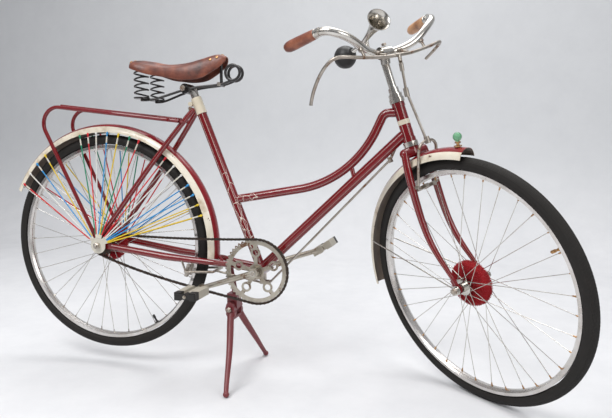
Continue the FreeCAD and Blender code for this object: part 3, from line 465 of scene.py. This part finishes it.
steerTurn = Matrix.Rotation(math.radians(steerDegrees), 3, steerAxis)
guardShift = steerTurn @ Vector(guardValues["frontShift"])
materials["frontGuard"] = mudguardPaint("frontGuard", frontHub + guardShift, frontAxis, guardValues["frontRing"])
print("materials made", len(materials))

nodePaint = {
    "enamelRed": ["bottom_bracket_shell", "rear_rack"],
    "enamelLined": ["down_tube", "chain_stays", "seat_stays", "fork"],
    "topTubePaint": ["top_tube"], "seatTubePaint": ["seat_tube"], "headTubePaint": ["head_tube"],
    "standRed": ["stand_bracket", "stand_legs"],
    "enamelBlack": ["saddle_chassis", "saddle_springs"],
    "rearGuard": ["rear_mudguard"], "frontGuard": ["front_mudguard"],
    "chromeOld": ["headset_cups", "headset_locknut", "stem", "handlebar", "horn_trumpet", "seat_post", "front_axle",
                  "rear_axle", "front_hub", "rear_hub", "crank_spindle", "rear_mudguard_stays",
                  "front_mudguard_stays"],
    "chromeRusty": ["brake_levers", "front_brake_rod", "front_brake_stirrup", "rear_brake_rod",
                    "rear_brake_stirrup"],
    "ringSteel": ["chainring", "crank_right", "crank_left"],
    "rimSteel": ["front_rim", "rear_rim"], "chainSteel": ["chain", "sprocket"],
    "tyreRubber": ["front_tyre", "rear_tyre"], "plushRed": ["front_hub_duster", "rear_hub_duster"],
    "saddleLeather": ["saddle_leather"], "gripLeather": ["grip_right"], "gripTan": ["grip_left"],
    "bulbRubber": ["horn_bulb"], "pedalCream": ["pedal_right", "pedal_left"], "brassOld": ["ornament_stem"],
    "greenGlass": ["ornament_ball"], "guardCords": ["skirt_guard_right", "skirt_guard_left"],
}
for paint, names in nodePaint.items():
    for name in names:
        mesh = nodes[name].data
        mesh.materials.clear()
        mesh.materials.append(materials[paint])
print("nodes painted")

# modelling helpers
def leave():
    bpy.ops.object.mode_set(mode="OBJECT")


def pickAll():
    bpy.ops.mesh.select_all(action="SELECT")


def faceOut():
    bpy.ops.mesh.normals_make_consistent(inside=False)


def alone(*pieces):
    if bpy.context.object and bpy.context.object.mode != "OBJECT":
        leave()
    bpy.ops.object.select_all(action="DESELECT")
    for piece in pieces:
        piece.select_set(True)
        bpy.context.view_layer.objects.active = piece


def begin(add, name, **settings):
    alone()
    add(**settings)
    piece = bpy.context.object
    piece.name = name
    return piece


def editing(piece, action="SELECT"):
    alone(piece)
    bpy.ops.object.mode_set(mode="EDIT")
    bpy.ops.mesh.select_mode(type="VERT")
    bpy.ops.mesh.select_all(action=action)


def pickFaces(piece, test):
    # leaves edit mode to mark the faces by place and normal, then comes back to it
    bpy.ops.mesh.select_mode(type="FACE")
    bpy.ops.mesh.select_all(action="DESELECT")
    leave()
    for polygon in piece.data.polygons:
        polygon.select = bool(test(polygon.center, polygon.normal))
    bpy.ops.object.mode_set(mode="EDIT")


def closed(piece):
    editing(piece)
    bpy.ops.mesh.remove_doubles(threshold=0.00001)
    bpy.ops.mesh.fill_holes(sides=0)
    pickAll()
    faceOut()
    leave()


def turned(name, stations, steps=28):
    # a turned shape on +Z: a ring drawn out and resized from station to station (height, radius) in mm
    height, radius = (value / 1000 for value in stations[0])
    piece = begin(bpy.ops.mesh.primitive_circle_add, name, vertices=steps, radius=radius, location=(0, 0, height))
    bpy.ops.object.transform_apply(location=True)
    editing(piece)
    for station in stations[1:]:
        nextHeight, nextRadius = (value / 1000 for value in station)
        bpy.ops.mesh.extrude_region_move(TRANSFORM_OT_translate={"value": (0, 0, nextHeight - height)})
        grow = nextRadius / radius
        bpy.ops.transform.resize(value=(grow, grow, 1), center_override=(0, 0, nextHeight))
        height, radius = nextHeight, nextRadius
    closed(piece)
    return piece


def stand(at, along=(0, 0, 1), spin=0.0):
    return Matrix.Translation(at) @ Vector(along).to_track_quat("Z", "Y").to_matrix().to_4x4() @ Matrix.Rotation(
        spin, 4, "Z")


def settle(piece, matrix):
    piece.matrix_world = matrix
    alone(piece)
    bpy.ops.object.transform_apply(location=True, rotation=True, scale=True)
    return piece


def repeat(piece, matrices, name):
    copies = []
    for matrix in matrices:
        copied = piece.copy()
        copied.data = piece.data.copy()
        bpy.context.collection.objects.link(copied)
        copied.data.transform(matrix)
        copies.append(copied)
    bpy.data.objects.remove(piece)
    alone(*copies)
    bpy.ops.object.join()
    bpy.context.object.name = name
    return bpy.context.object


def modify(piece, kind, **settings):
    alone(piece)
    modifier = piece.modifiers.new(kind.lower(), kind)
    for key, value in settings.items():
        setattr(modifier, key, value)
    bpy.ops.object.modifier_apply(modifier=modifier.name)


def finish(piece, paint, body, smooth=35.0):
    piece.data.materials.clear()
    piece.data.materials.append(materials[paint])
    alone(piece)
    bpy.ops.object.shade_smooth_by_angle(angle=math.radians(smooth))
    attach(piece, body)
    return piece


def place(x, y, z):
    # millimetres from the rear axle along the bicycle, sideways, and up from the floor
    return rearHub + Vector((x, y, z - rearAxle[1])) / 1000


def steered(x, y, z):
    # the same with the wheel straight, carried round by the steering
    return steerPoint + steerTurn @ (place(x, y, z) - steerPoint)


def onWheel(front, radius, degrees, y=0.0):
    a = math.radians(degrees)
    x, z = frontAxle if front else rearAxle
    return (steered if front else place)(x + radius * math.cos(a), y, z + radius * math.sin(a))


def wheelBody(front):
    return "front_wheel" if front else "rear_wheel"


def wheelMatrix(front):
    axis = frontAxis if front else across
    return stand(frontHub if front else rearHub, axis)


# tyres
tyreValues = {"middle": 329.5, "radius": 17.8, "steps": 240, "sides": 36, "open": 138.0, "tread": 57.0,
              "groove": 1.1, "lift": 0.65, "sweep": 1.6, "wall": 0.0022, "beadFrom": 78, "beadTo": 92,
              "beadOut": 0.0001, "beadWide": 1.025}


def tyre(name, front):
    v = tyreValues
    middle, radius = v["middle"] / 1000, v["radius"] / 1000
    piece = begin(bpy.ops.mesh.primitive_circle_add, name, vertices=v["sides"], radius=radius,
                  location=(middle, 0, 0), rotation=(math.pi / 2, 0, 0))
    bpy.ops.object.transform_apply(location=True, rotation=True)
    for vertex in piece.data.vertices:
        angle = math.degrees(math.atan2(vertex.co.z, vertex.co.x - middle))
        if v["beadFrom"] < abs(angle) < v["beadTo"]:  # the bead line along each sidewall
            vertex.co.x += v["beadOut"]
            vertex.co.z *= v["beadWide"]
    bpy.ops.object.mode_set(mode="EDIT")
    bpy.ops.mesh.select_mode(type="VERT")
    bpy.ops.mesh.select_all(action="DESELECT")
    leave()
    for vertex in piece.data.vertices:
        vertex.select = abs(math.degrees(math.atan2(vertex.co.z, vertex.co.x - middle))) > v["open"]
    bpy.ops.object.mode_set(mode="EDIT")
    bpy.ops.mesh.delete(type="VERT")
    pickAll()
    bpy.ops.mesh.spin(steps=v["steps"], angle=2 * math.pi, center=(0, 0, 0), axis=(0, 0, 1))
    pickAll()
    bpy.ops.mesh.remove_doubles(threshold=0.00002)
    faceOut()
    treadCosine = math.cos(math.radians(v["tread"]))

    def onTread(centre, normal):
        return math.hypot(centre.x, centre.y) - middle > treadCosine * radius

    pickFaces(piece, onTread)
    bpy.ops.mesh.inset(thickness=v["groove"] / 1000, depth=v["lift"] / 1000, use_individual=True)
    leave()
    for vertex in piece.data.vertices:  # the blocks lean back from the middle to each side
        lean = v["sweep"] * abs(vertex.co.z)
        vertex.co.xy = Matrix.Rotation(lean, 2) @ vertex.co.xy
    # the open bead side faces the rim; the shell is a closed carcass once it has a wall
    modify(piece, "SOLIDIFY", thickness=v["wall"], offset=-1.0)
    settle(piece, wheelMatrix(front))
    finish(piece, "tyreRubber", wheelBody(front), 25.0)
    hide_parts("front_tyre" if front else "rear_tyre")


tyre("rearTyre", False)
tyre("frontTyre", True)
print("tyres made")

# spoke nipples and valves
nippleValues = {"rim": 301.0, "rise": 2.8, "crossing": 60.0, "bend": 1.15, "length": 9.0}


def nipples(name, front):
    v = nippleValues
    small = turned("nipple", [(0, 1.5), (1.0, 1.9), (6.5, 1.9), (7.0, 2.7), (9.2, 2.7)], 8)
    flange, left, right = (23.0, 32.0, 32.0) if front else (28.0, 31.0, 26.0)
    matrices = []
    for y, rimY, shift in ((left, v["rise"], 0), (-right, -v["rise"], 10)):
        for i in range(18):
            lead = 1 if i % 2 == 0 else -1
            hole = 20 * i + shift
            foot = onWheel(front, flange - 3.5, hole, y + v["bend"] * lead)
            tip = onWheel(front, v["rim"] + 0.3, hole + v["crossing"] * lead, rimY + v["bend"] * lead)
            along = (tip - foot).normalized()
            matrices.append(stand(tip - along * v["length"] / 1000, along))
    piece = repeat(small, matrices, name)
    finish(piece, "brassOld" if front else "chromeOld", wheelBody(front))


valveValues = {"radius": 300.8, "stations": [
    (0, 5.2), (0.3, 5.6), (2.6, 5.6), (3.0, 3.0), (6, 3.0), (6.4, 3.5), (7.2, 3.5), (7.6, 3.0), (14, 3.0), (14.3, 4.0),
    (15.0, 4.3), (24.5, 4.1), (26.5, 3.0), (27, 1.2)]}


def valve(name, front, degrees, paint):
    piece = turned(name, valveValues["stations"], 18)
    settle(piece, stand(onWheel(front, valveValues["radius"], degrees),
                        onWheel(front, 0, 0) - onWheel(front, 300, degrees)))
    finish(piece, paint, wheelBody(front))


nipples("rearNipples", False)
nipples("frontNipples", True)
valve("rearValve", False, -58.0, "bulbRubber")
valve("frontValve", True, 31.5, "brassOld")
print("nipples and valves made")

# plush hub dusters
dusterValues = {"front": (13.6, 60.5, 14.5), "rear": (17.6, 55.0, 12.5), "tuft": 4.6, "density": 300000.0}


def tuftGroup():
    group = bpy.data.node_groups.new("tufts", "GeometryNodeTree")
    group.interface.new_socket(name="Geometry", in_out="INPUT", socket_type="NodeSocketGeometry")
    group.interface.new_socket(name="Geometry", in_out="OUTPUT", socket_type="NodeSocketGeometry")
    given = group.nodes.new("NodeGroupInput")
    out = group.nodes.new("NodeGroupOutput")
    scatter = node(group, "GeometryNodeDistributePointsOnFaces", None,
                   {"Mesh": given.outputs[0], "Density": dusterValues["density"], "Seed": 4})
    strand = node(group, "GeometryNodeMeshCone", {"fill_type": "NONE"},
                  {"Vertices": 3, "Radius Bottom": 0.00055, "Radius Top": 0.00012,
                   "Depth": dusterValues["tuft"] / 1000})
    lean = node(group, "FunctionNodeRandomValue", {"data_type": "FLOAT_VECTOR"},
                {0: (-0.45, -0.45, 0.0), 1: (0.45, 0.45, 6.28), "Seed": 7})
    tilt = node(group, "FunctionNodeRotateRotation", {"rotation_space": "LOCAL"},
                {0: scatter.outputs["Rotation"], 1: lean.outputs[0]})
    size = node(group, "FunctionNodeRandomValue", {"data_type": "FLOAT"}, {2: 0.7, 3: 1.15, "Seed": 11})
    planted = node(group, "GeometryNodeInstanceOnPoints", None,
                   {"Points": scatter.outputs["Points"], "Instance": strand.outputs["Mesh"],
                    "Rotation": tilt.outputs[0], "Scale": size.outputs[1]})
    real = node(group, "GeometryNodeRealizeInstances", None, {0: planted.outputs[0]})
    joined = group.nodes.new("GeometryNodeJoinGeometry")
    group.links.new(given.outputs[0], joined.inputs[0])
    group.links.new(real.outputs[0], joined.inputs[0])
    group.links.new(joined.outputs[0], out.inputs[0])
    return group


tufts = tuftGroup()


def duster(name, front):
    inner, outer, half = dusterValues["front" if front else "rear"]
    stations = []
    for i in range(25):
        t = 2 * math.pi * i / 24
        c, s = math.cos(t), math.sin(t)
        stations.append((math.copysign(abs(s) ** 0.7, s) * half,
                         (inner + outer) / 2 + math.copysign(abs(c) ** 0.7, c) * (outer - inner) / 2))
    piece = turned(name, stations, 60)
    modify(piece, "NODES", node_group=tufts)
    settle(piece, wheelMatrix(front))
    finish(piece, "plushRed", wheelBody(front), 60.0)
    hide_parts("front_hub_duster" if front else "rear_hub_duster")


duster("frontDuster", True)
duster("rearDuster", False)
print("hub dusters made")

# saddle
saddleValues = {
    "stations": [(126, 62, 958, 948), (138, 84, 968, 941), (160, 94, 970, 933), (195, 90, 965, 922),
                 (240, 68, 957, 914), (290, 45, 961, 907), (340, 33, 972, 911), (382, 27, 982, 932),
                 (408, 20, 980, 950), (417, 10, 974, 963)],
    "lengthwise": 60, "across": 40, "thickness": 3.6, "edge": 0.0011,
    "rivet": [(-1.5, 4.4), (0.2, 4.6), (1.0, 4.0), (1.7, 2.4), (1.9, 0.6)],
    "rivetPlaces": [(140, -0.62), (140, -0.34), (139, 0.0), (140, 0.34), (140, 0.62), (392, -0.55), (392, 0.55),
                    (402, 0.0), (372, -0.6), (372, 0.6)],
}


def between(rows, x):
    # a smooth value between the stations, from each one's slope
    for i in range(len(rows) - 1):
        if x <= rows[i + 1][0] or i == len(rows) - 2:
            break
    x0, x1 = rows[i][0], rows[i + 1][0]
    t = min(max((x - x0) / (x1 - x0), 0.0), 1.0)
    values = []
    for k in range(1, len(rows[0])):
        y0, y1 = rows[i][k], rows[i + 1][k]
        before, after = rows[max(i - 1, 0)], rows[min(i + 2, len(rows) - 1)]
        slope0 = (y1 - before[k]) / (x1 - before[0]) * (x1 - x0)
        slope1 = (after[k] - y0) / (after[0] - x0) * (x1 - x0)
        values.append((2 * t**3 - 3 * t**2 + 1) * y0 + (t**3 - 2 * t**2 + t) * slope0
                      + (3 * t**2 - 2 * t**3) * y1 + (t**3 - t**2) * slope1)
    return values


def onSaddle(x, side, lift=0.0):
    # side runs from -1 to 1 over the leather, lift is out from it, in mm
    width, top, edge = between(saddleValues["stations"], x)
    t = math.pi * (1 - (side + 1) / 2)
    c, s = math.cos(t), math.sin(t)
    return place(x, math.copysign(abs(c) ** 0.75, c) * (width + lift * abs(c)),
                 edge + (top + lift - edge) * abs(s) ** 0.62)


def saddle():
    v = saddleValues
    piece = begin(bpy.ops.mesh.primitive_grid_add, "saddleTop", x_subdivisions=v["lengthwise"],
                  y_subdivisions=v["across"], size=2)
    first, last = v["stations"][0][0], v["stations"][-1][0]
    for vertex in piece.data.vertices:
        u = (vertex.co.x + 1) / 2
        x = first + (last - first) * (u - 0.06 * math.sin(2 * math.pi * u))
        vertex.co = onSaddle(x, -vertex.co.y, -0.4)
    editing(piece)
    faceOut()
    leave()
    top = max(piece.data.polygons, key=lambda polygon: polygon.center.z)
    if top.normal.z < 0:
        editing(piece)
        bpy.ops.mesh.flip_normals()
        leave()
    modify(piece, "SOLIDIFY", thickness=v["thickness"] / 1000, offset=-1.0)
    modify(piece, "BEVEL", width=v["edge"], segments=2, limit_method="ANGLE", angle_limit=math.radians(60))
    finish(piece, "saddleLeather", "frame", 50.0)
    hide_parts("saddle_leather")
    rivet = turned("rivet", v["rivet"], 14)
    matrices = []
    for x, side in v["rivetPlaces"]:
        here, ahead = onSaddle(x, side), onSaddle(x + 2, side)
        beside = onSaddle(x, side + 0.03)
        outward = (beside - here).cross(ahead - here).normalized()
        if outward.z < -0.2:
            outward.negate()
        matrices.append(stand(onSaddle(x, side, 0.2), outward))
    finish(repeat(rivet, matrices, "saddleRivets"), "brassOld", "frame")


saddle()
print("saddle made")

# chain, chainring teeth and sprocket teeth
chainValues = {"ring": 97.0, "sprocket": 36.3, "pitch": 12.7, "y": -46.0, "plate": 3.9,
               "lowSag": 17.0, "backSag": 12.0, "topSag": 6.5,
               "roller": [(-3.95, 0.9), (-3.94, 1.7), (-2.4, 1.75), (-2.35, 3.6), (2.35, 3.6), (2.4, 1.75),
                          (3.94, 1.7), (3.95, 0.9)], "plateThick": 0.0010}


def onRing(centre, radius, degrees):
    a = math.radians(degrees)
    return centre + Vector((math.cos(a), 0, math.sin(a))) * radius / 1000


def chainLine():
    v = chainValues
    axle, bracket = place(0, v["y"], rearAxle[1]), crankCentre.copy()
    bracket.y = axle.y
    line = [onRing(axle, v["sprocket"], a) for a in range(92, 225, 4)]
    low, front = onRing(axle, v["sprocket"], 232), onRing(bracket, v["ring"], 262)
    for i in range(1, 40):
        t = i / 40
        sag = v["lowSag"] * 4 * t * (1 - t) * (1 - 0.55 * t) + v["backSag"] * t * (1 - t) ** 3
        line.append(low.lerp(front, t) - Vector((0, 0, sag / 1000)))
    line += [onRing(bracket, v["ring"], a) for a in range(262, 452, 3)]
    high, back = onRing(bracket, v["ring"], 92), onRing(axle, v["sprocket"], 92)
    for i in range(1, 40):
        t = i / 40
        line.append(high.lerp(back, t) - Vector((0, 0, v["topSag"] / 1000 * 4 * t * (1 - t))))
    return line


def evenly(line, pitch):
    # pins at even steps round the closed line, an even number of them
    reach = [0.0]
    for a, b in zip(line, line[1:] + line[:1]):
        reach.append(reach[-1] + (b - a).length)
    count = 2 * round(reach[-1] / pitch / 2)
    pins, i = [], 0
    for k in range(count):
        want = reach[-1] * k / count
        while reach[i + 1] < want:
            i += 1
        t = (want - reach[i]) / (reach[i + 1] - reach[i])
        pins.append(line[i].lerp(line[(i + 1) % len(line)], t))
    return pins


def linkPlate(name, pitch, half, thick):
    # one side plate: a round of edges drawn apart into two eyes, waisted, and given its thickness
    piece = begin(bpy.ops.mesh.primitive_circle_add, name, vertices=14, radius=half, fill_type="NGON",
                  rotation=(math.pi / 2, 0, 0))
    bpy.ops.object.transform_apply(rotation=True)
    for vertex in piece.data.vertices:
        vertex.co.x += math.copysign(pitch / 2, vertex.co.x) if abs(vertex.co.x) > 1e-6 else 0
        if abs(vertex.co.x) < 1e-6:
            vertex.co.z *= 0.72
    editing(piece)
    bpy.ops.mesh.extrude_region_move(TRANSFORM_OT_translate={"value": (0, thick, 0)})
    pickAll()
    faceOut()
    leave()
    return piece


def chain():
    v = chainValues
    pins = evenly(chainLine(), v["pitch"] / 1000)
    pitch = (pins[1] - pins[0]).length
    outer = linkPlate("outerPlate", pitch, v["plate"] / 1000, v["plateThick"])
    inner = linkPlate("innerPlate", pitch, v["plate"] / 1000, v["plateThick"])
    outerPlaces, innerPlaces, rollerPlaces = [], [], []
    for i, pin in enumerate(pins):
        after = pins[(i + 1) % len(pins)]
        along = (after - pin).normalized()
        turn = Matrix((along, across, along.cross(across))).transposed().to_4x4()
        matrix = Matrix.Translation((pin + after) / 2) @ turn
        for y in ((-0.0039, 0.0029) if i % 2 else (-0.0027, 0.0017)):
            (outerPlaces if i % 2 else innerPlaces).append(matrix @ Matrix.Translation((0, y, 0)))
        rollerPlaces.append(stand(pin, (0, 1, 0)))
    plates = repeat(outer, outerPlaces, "chainPlates")
    inside = repeat(inner, innerPlaces, "chainInner")
    roller = turned("roller", v["roller"], 8)
    rollers = repeat(roller, rollerPlaces, "chainRollers")
    alone(inside, rollers, plates)
    bpy.ops.object.join()
    piece = bpy.context.object
    piece.name = "chainLinks"
    finish(piece, "chainSteel", "frame", 30.0)
    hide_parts("chain")


toothValues = {
    "chainringTeeth": (48, 93.0, 100.0, 88.0, 0.03), "sprocketTeeth": (18, 32.6, 39.5, 29.0, 0.05), "thick": 2.2,
    "slope": 0.55,
}


def teeth(name, centre, body, paint):
    count, root, tip, inner, turn = toothValues[name]
    thick = toothValues["thick"]
    flank = 1.0 + toothValues["slope"] * (tip / root - 1)
    piece = begin(bpy.ops.mesh.primitive_circle_add, name, vertices=count * 4, radius=root / 1000,
                  rotation=(math.pi / 2, 0, 0))
    bpy.ops.object.transform_apply(rotation=True)
    order = sorted(piece.data.vertices, key=lambda vertex: math.atan2(vertex.co.z, vertex.co.x))
    for i, vertex in enumerate(order):
        vertex.co *= (1.0, flank, tip / root, flank)[i % 4]
    editing(piece)
    bpy.ops.mesh.extrude_region_move()
    bpy.ops.transform.resize(value=(inner / root,) * 3, center_override=(0, 0, 0))
    pickAll()
    bpy.ops.mesh.extrude_region_move(TRANSFORM_OT_translate={"value": (0, thick / 1000, 0)})
    pickAll()
    bpy.ops.transform.translate(value=(0, -thick / 2000, 0))
    faceOut()
    settle(piece, Matrix.Translation(centre) @ Matrix.Rotation(turn, 4, "Y"))
    finish(piece, paint, body)


chain()
ringCentre = Vector((crankCentre.x, rearHub.y - 0.046, crankCentre.z))
teeth("chainringTeeth", ringCentre, "crankset", "ringSteel")
teeth("sprocketTeeth", rearHub + Vector((0, -0.046, 0)), "rear_wheel", "chainSteel")
print("chain and teeth made")

# skirt cords: a knob at the mudguard, a woven cord with a sleeve, an eye at the axle
cordValues = {"inner": (23, 71.2), "outer": (357, 32.2), "radius": 1.9, "sleeve": 2.3, "knob": 3.7}


def skirtCords(name, side):
    v = cordValues
    radius, full = v["radius"], math.hypot(v["outer"][0] - v["inner"][0], v["outer"][1] - v["inner"][1])
    cord = turned("cord", [(0, 1.3), (1, 2.5), (5, 2.5), (6, radius), (298, radius), (299, v["sleeve"]),
                           (318, v["sleeve"]), (319, radius), (full - 9, radius), (full - 8, v["knob"] * 0.8),
                           (full - 5, v["knob"]), (full - 2, v["knob"] * 0.8), (full - 1, 1.4)], 12)
    matrices = []
    for degrees, colour in cordColours:
        foot = onWheel(False, v["inner"][0], degrees, side * v["inner"][1])
        tip = onWheel(False, v["outer"][0], degrees, side * v["outer"][1])
        matrices.append(stand(foot, tip - foot))
    finish(repeat(cord, matrices, name), "guardCords", "frame")


skirtCords("skirtCordsRight", -1)
skirtCords("skirtCordsLeft", 1)
print("skirt cords made")

# grips, horn bulb and glass ball
gripValues = {"stations": [(-16, 11.2), (-15.5, 12.3), (-3, 12.3), (-2.5, 13.0), (0.4, 13.0), (0.5, 12.2)],
              "handle": [(0.4, 11.4), (0.5, 12.6), (3, 13.4), (3.4, 12.8), (4.4, 12.8), (4.8, 13.6), (25, 14.3),
                         (55, 15.1), (80, 15.4), (92, 14.6), (100, 12.3), (105, 8.4), (107.3, 4.0), (107.8, 0.6)]}


def grip(side, paint):
    inner, outer = steered(857, side * 206, 1038), steered(759, side * 238, 1011)
    label = "Right" if side < 0 else "Left"
    handle = settle(turned("grip" + label, gripValues["handle"], 36), stand(inner, outer - inner))
    finish(handle, paint, "steering", 40.0)
    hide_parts("grip_right" if side < 0 else "grip_left")
    ferrule = settle(turned("ferrule" + label, gripValues["stations"], 36), stand(inner, outer - inner))
    finish(ferrule, "chromeOld", "steering")


grip(-1, "gripLeather")
grip(1, "gripTan")


hornBulbValues = {"radius": 32, "seam": 0.7, "at": (815, -80, 967), "towards": (850, -79, 982),
                  "end": [(-32.0, 0.6), (-31.4, 5.5)],
                  "neck": [(29.5, 12.5), (31, 11.0), (33.5, 10.2), (34, 11.0), (36.5, 11.0), (37, 9.4)]}


def hornBulb():
    v = hornBulbValues
    centre, mouth = steered(*v["at"]), steered(*v["towards"])
    stations = list(v["end"])
    for degrees in range(-66, 61, 7):
        a = math.radians(degrees)
        seam = v["seam"] if abs(degrees + 3) < 2 else 0.0
        stations.append((v["radius"] * math.sin(a), v["radius"] * math.cos(a) + seam - v["seam"]))
    stations += v["neck"]
    piece = settle(turned("hornBulb", stations, 40), stand(centre, mouth - centre))
    finish(piece, "bulbRubber", "steering", 30.0)
    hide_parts("horn_bulb")


hornBulb()


glassBallValues = {"flutes": 8, "depth": 0.05}


def glassBall():
    low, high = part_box("ornament_ball")
    centre, radius = (low + high) / 2, (high.z - low.z) / 2
    piece = begin(bpy.ops.mesh.primitive_uv_sphere_add, "glassBall", segments=32, ring_count=18, radius=radius)
    for vertex in piece.data.vertices:  # pressed flutes down the sides
        wave = math.cos(glassBallValues["flutes"] * math.atan2(vertex.co.y, vertex.co.x))
        vertex.co.xy *= 1 - glassBallValues["depth"] * (0.5 + 0.5 * wave)
    modify(piece, "SUBSURF", levels=1, render_levels=1)
    settle(piece, Matrix.Translation(centre))
    finish(piece, "greenGlass", "steering", 60.0)
    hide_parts("ornament_ball")


glassBall()
print("grips, bulb and glass made")

# nuts, bolts and small fittings: place on the left side, then radius, height and stud, all in mm
nutValues = {
    "frame": [((0, 78.9, 400.5), 9.6, 6.0, 4.0), ((303.6, 20.2, 823.7), 6.4, 4.2, 1.6),
              ((286, 30.8, 884), 9.0, 6.0, 2.2), ((427, 38.8, 215), 8.6, 5.0, 2.4), ((396, 15.8, 894), 6.2, 4.4, 1.4)],
    "steering": [((1145.4, 68.3, 345.4), 9.4, 6.0, 2.0), ((1009, 42.6, 606), 5.6, 4.0, 1.2)],
    "stem": ((889, 0, 985), 7.4, 5.0, 0.0),
    "crank": (77.8, 7.0, 2.0, 1.0),
}
headUp = Vector((-0.3157, 0, 0.9489))


def hexNut(name, radius, height, stud):
    # a hexagon drawn up, its rim bevelled, with a stud standing out of it
    piece = begin(bpy.ops.mesh.primitive_cylinder_add, name, vertices=6, radius=radius / 1000,
                  depth=height / 1000, location=(0, 0, height / 2000))
    bpy.ops.object.transform_apply(location=True)
    editing(piece)
    bpy.ops.mesh.select_all(action="DESELECT")
    pickFaces(piece, lambda centre, normal: normal.z > 0.9)
    bpy.ops.mesh.inset(thickness=radius * 0.14 / 1000, depth=radius * 0.1 / 1000)
    bpy.ops.mesh.inset(thickness=radius * 0.3 / 1000, depth=0)
    if stud:
        bpy.ops.mesh.extrude_region_move(TRANSFORM_OT_translate={"value": (0, 0, stud / 1000)})
        bpy.ops.mesh.inset(thickness=radius * 0.06 / 1000, depth=radius * 0.05 / 1000)
    leave()
    return piece


def fasteners(name, body, paint, rows):
    nuts = []
    for i, (at, along, radius, height, stud) in enumerate(rows):
        nuts.append(settle(hexNut(f"nut{i}", radius, height, stud), stand(at, along, 0.4 * i)))
    alone(*nuts)
    bpy.ops.object.join()
    bpy.context.object.name = name
    finish(bpy.context.object, paint, body, 25.0)


frameRows, steeringRows, crankRows = [], [], []
for side in (-1, 1):
    out = Vector((0, side, 0))
    for (x, y, z), *sizes in nutValues["frame"]:
        frameRows.append((place(x, side * y, z), out, *sizes))
    for (x, y, z), *sizes in nutValues["steering"]:
        steeringRows.append((steered(x, side * y, z), steerTurn @ out, *sizes))
    offset, *sizes = nutValues["crank"]
    crankRows.append((crankCentre + Vector((0, side * offset / 1000, 0)), out, *sizes))
stemTop, *sizes = nutValues["stem"]
steeringRows.append((steered(*stemTop), steerTurn @ headUp, *sizes))
fasteners("frameNuts", "frame", "chromeRusty", frameRows)
fasteners("steeringNuts", "steering", "chromeRusty", steeringRows)
fasteners("crankNuts", "crankset", "chromeRusty", crankRows)
print("fasteners made")

# stage, lamps and camera
# the wall colour is painted shade: the same paper is painted darker where it stands up behind the bicycle
stageValues = {"floor": (0.8, 0.8, 0.81), "wall": (0.66, 0.67, 0.68), "back": 1.9, "curve": 1.0, "half": 6.0}


def paleFinish(name, colour, mottle):
    made, tree, shader, place = startMaterial(name)
    cloud = noise(tree, place, 1.6, 5.0, 0.6)
    height = node(tree, "ShaderNodeSeparateXYZ", None, {0: place}).outputs[2]
    # painted shade: the paper goes from the floor colour to the darker wall colour with height, standing in for the
    # wall getting less light than the floor
    paintedShadeUpward = mixColour(tree, times(tree, height, 1.6, True), rgba(colour), rgba(stageValues["wall"]))
    spots = times(tree, minus(tree, noise(tree, place, 7.0, 7.0, 0.7), 0.35), 2.6, True)
    clouded = times(tree, plus(tree, cloud, times(tree, spots, 0.5)), mottle)
    shade = mixColour(tree, clouded, paintedShadeUpward, (0.5, 0.51, 0.53, 1))
    setSurface(tree, shader, {"Base Color": shade, "Roughness": 0.9})
    return made


bpy.ops.object.select_all(action="DESELECT")
bpy.ops.mesh.primitive_grid_add(x_subdivisions=1, y_subdivisions=60, size=2)
sweep = bpy.context.object
sweep.name = "studioSweep"
v = stageValues
for vertex in sweep.data.vertices:
    t = (vertex.co.y + 1) / 2 * 9.0
    x = vertex.co.x * v["half"]
    if t < 4.5 + v["back"]:
        y, z = t - 4.5, 0.0
    elif t < 4.5 + v["back"] + v["curve"] * math.pi / 2:
        a = (t - 4.5 - v["back"]) / v["curve"]
        y, z = v["back"] + math.sin(a) * v["curve"], v["curve"] * (1 - math.cos(a))
    else:
        y, z = v["back"] + v["curve"], v["curve"] + (t - 4.5 - v["back"] - v["curve"] * math.pi / 2) * 3
    vertex.co = (x, y, z)
for polygon in sweep.data.polygons:
    polygon.use_smooth = True
sweep.data.materials.append(paleFinish("studioPaper", v["floor"], 0.35))

lampValues = {
    "keyLamp": {"at": (-0.9, -2.4, 3.3), "size": 2.0, "energy": 100.0},
    "fillLamp": {"at": (3.0, -2.0, 1.8), "size": 1.4, "energy": 26.0},
    "topLamp": {"at": (0.3, 0.8, 3.8), "size": 2.6, "energy": 80.0},
}
for name, lamp in lampValues.items():
    bpy.ops.object.light_add(type="AREA", location=lamp["at"])
    made = bpy.context.object
    made.name = name
    made.data.size = lamp["size"]
    made.data.energy = lamp["energy"]
    made.rotation_euler = (Vector((0, 0, 0.5)) - Vector(lamp["at"])).to_track_quat("-Z", "Y").to_euler()

world = bpy.data.worlds.new("studioWorld")
bpy.context.scene.world = world
world.use_nodes = True
tree = world.node_tree
tree.nodes.clear()
sky = node(tree, "ShaderNodeSeparateXYZ", None, {0: node(tree, "ShaderNodeTexCoord").outputs["Generated"]}).outputs[2]
tone = ramp(tree, plus(tree, times(tree, sky, 0.5), 0.5),
            [(0.3, (0.16, 0.16, 0.16, 1)), (0.5, (0.3, 0.3, 0.31, 1)), (0.75, (0.95, 0.96, 1.0, 1))])
light = node(tree, "ShaderNodeBackground", None, {"Color": tone, "Strength": 0.5})
node(tree, "ShaderNodeOutputWorld", None, {"Surface": light.outputs[0]})

cameraValues = {"at": (0.562444, -1.593711, 0.6961), "pitch": 84.15, "roll": 0.08, "yaw": 15.05, "lens": 33.37}
bpy.ops.object.camera_add(location=cameraValues["at"], rotation=(
    math.radians(cameraValues["pitch"]), math.radians(cameraValues["roll"]), math.radians(cameraValues["yaw"])))
camera = bpy.context.object
camera.data.lens = cameraValues["lens"]
camera.data.sensor_width = 36.0
bpy.context.scene.camera = camera
bpy.context.scene.view_settings.view_transform = "Standard"
print("stage set")
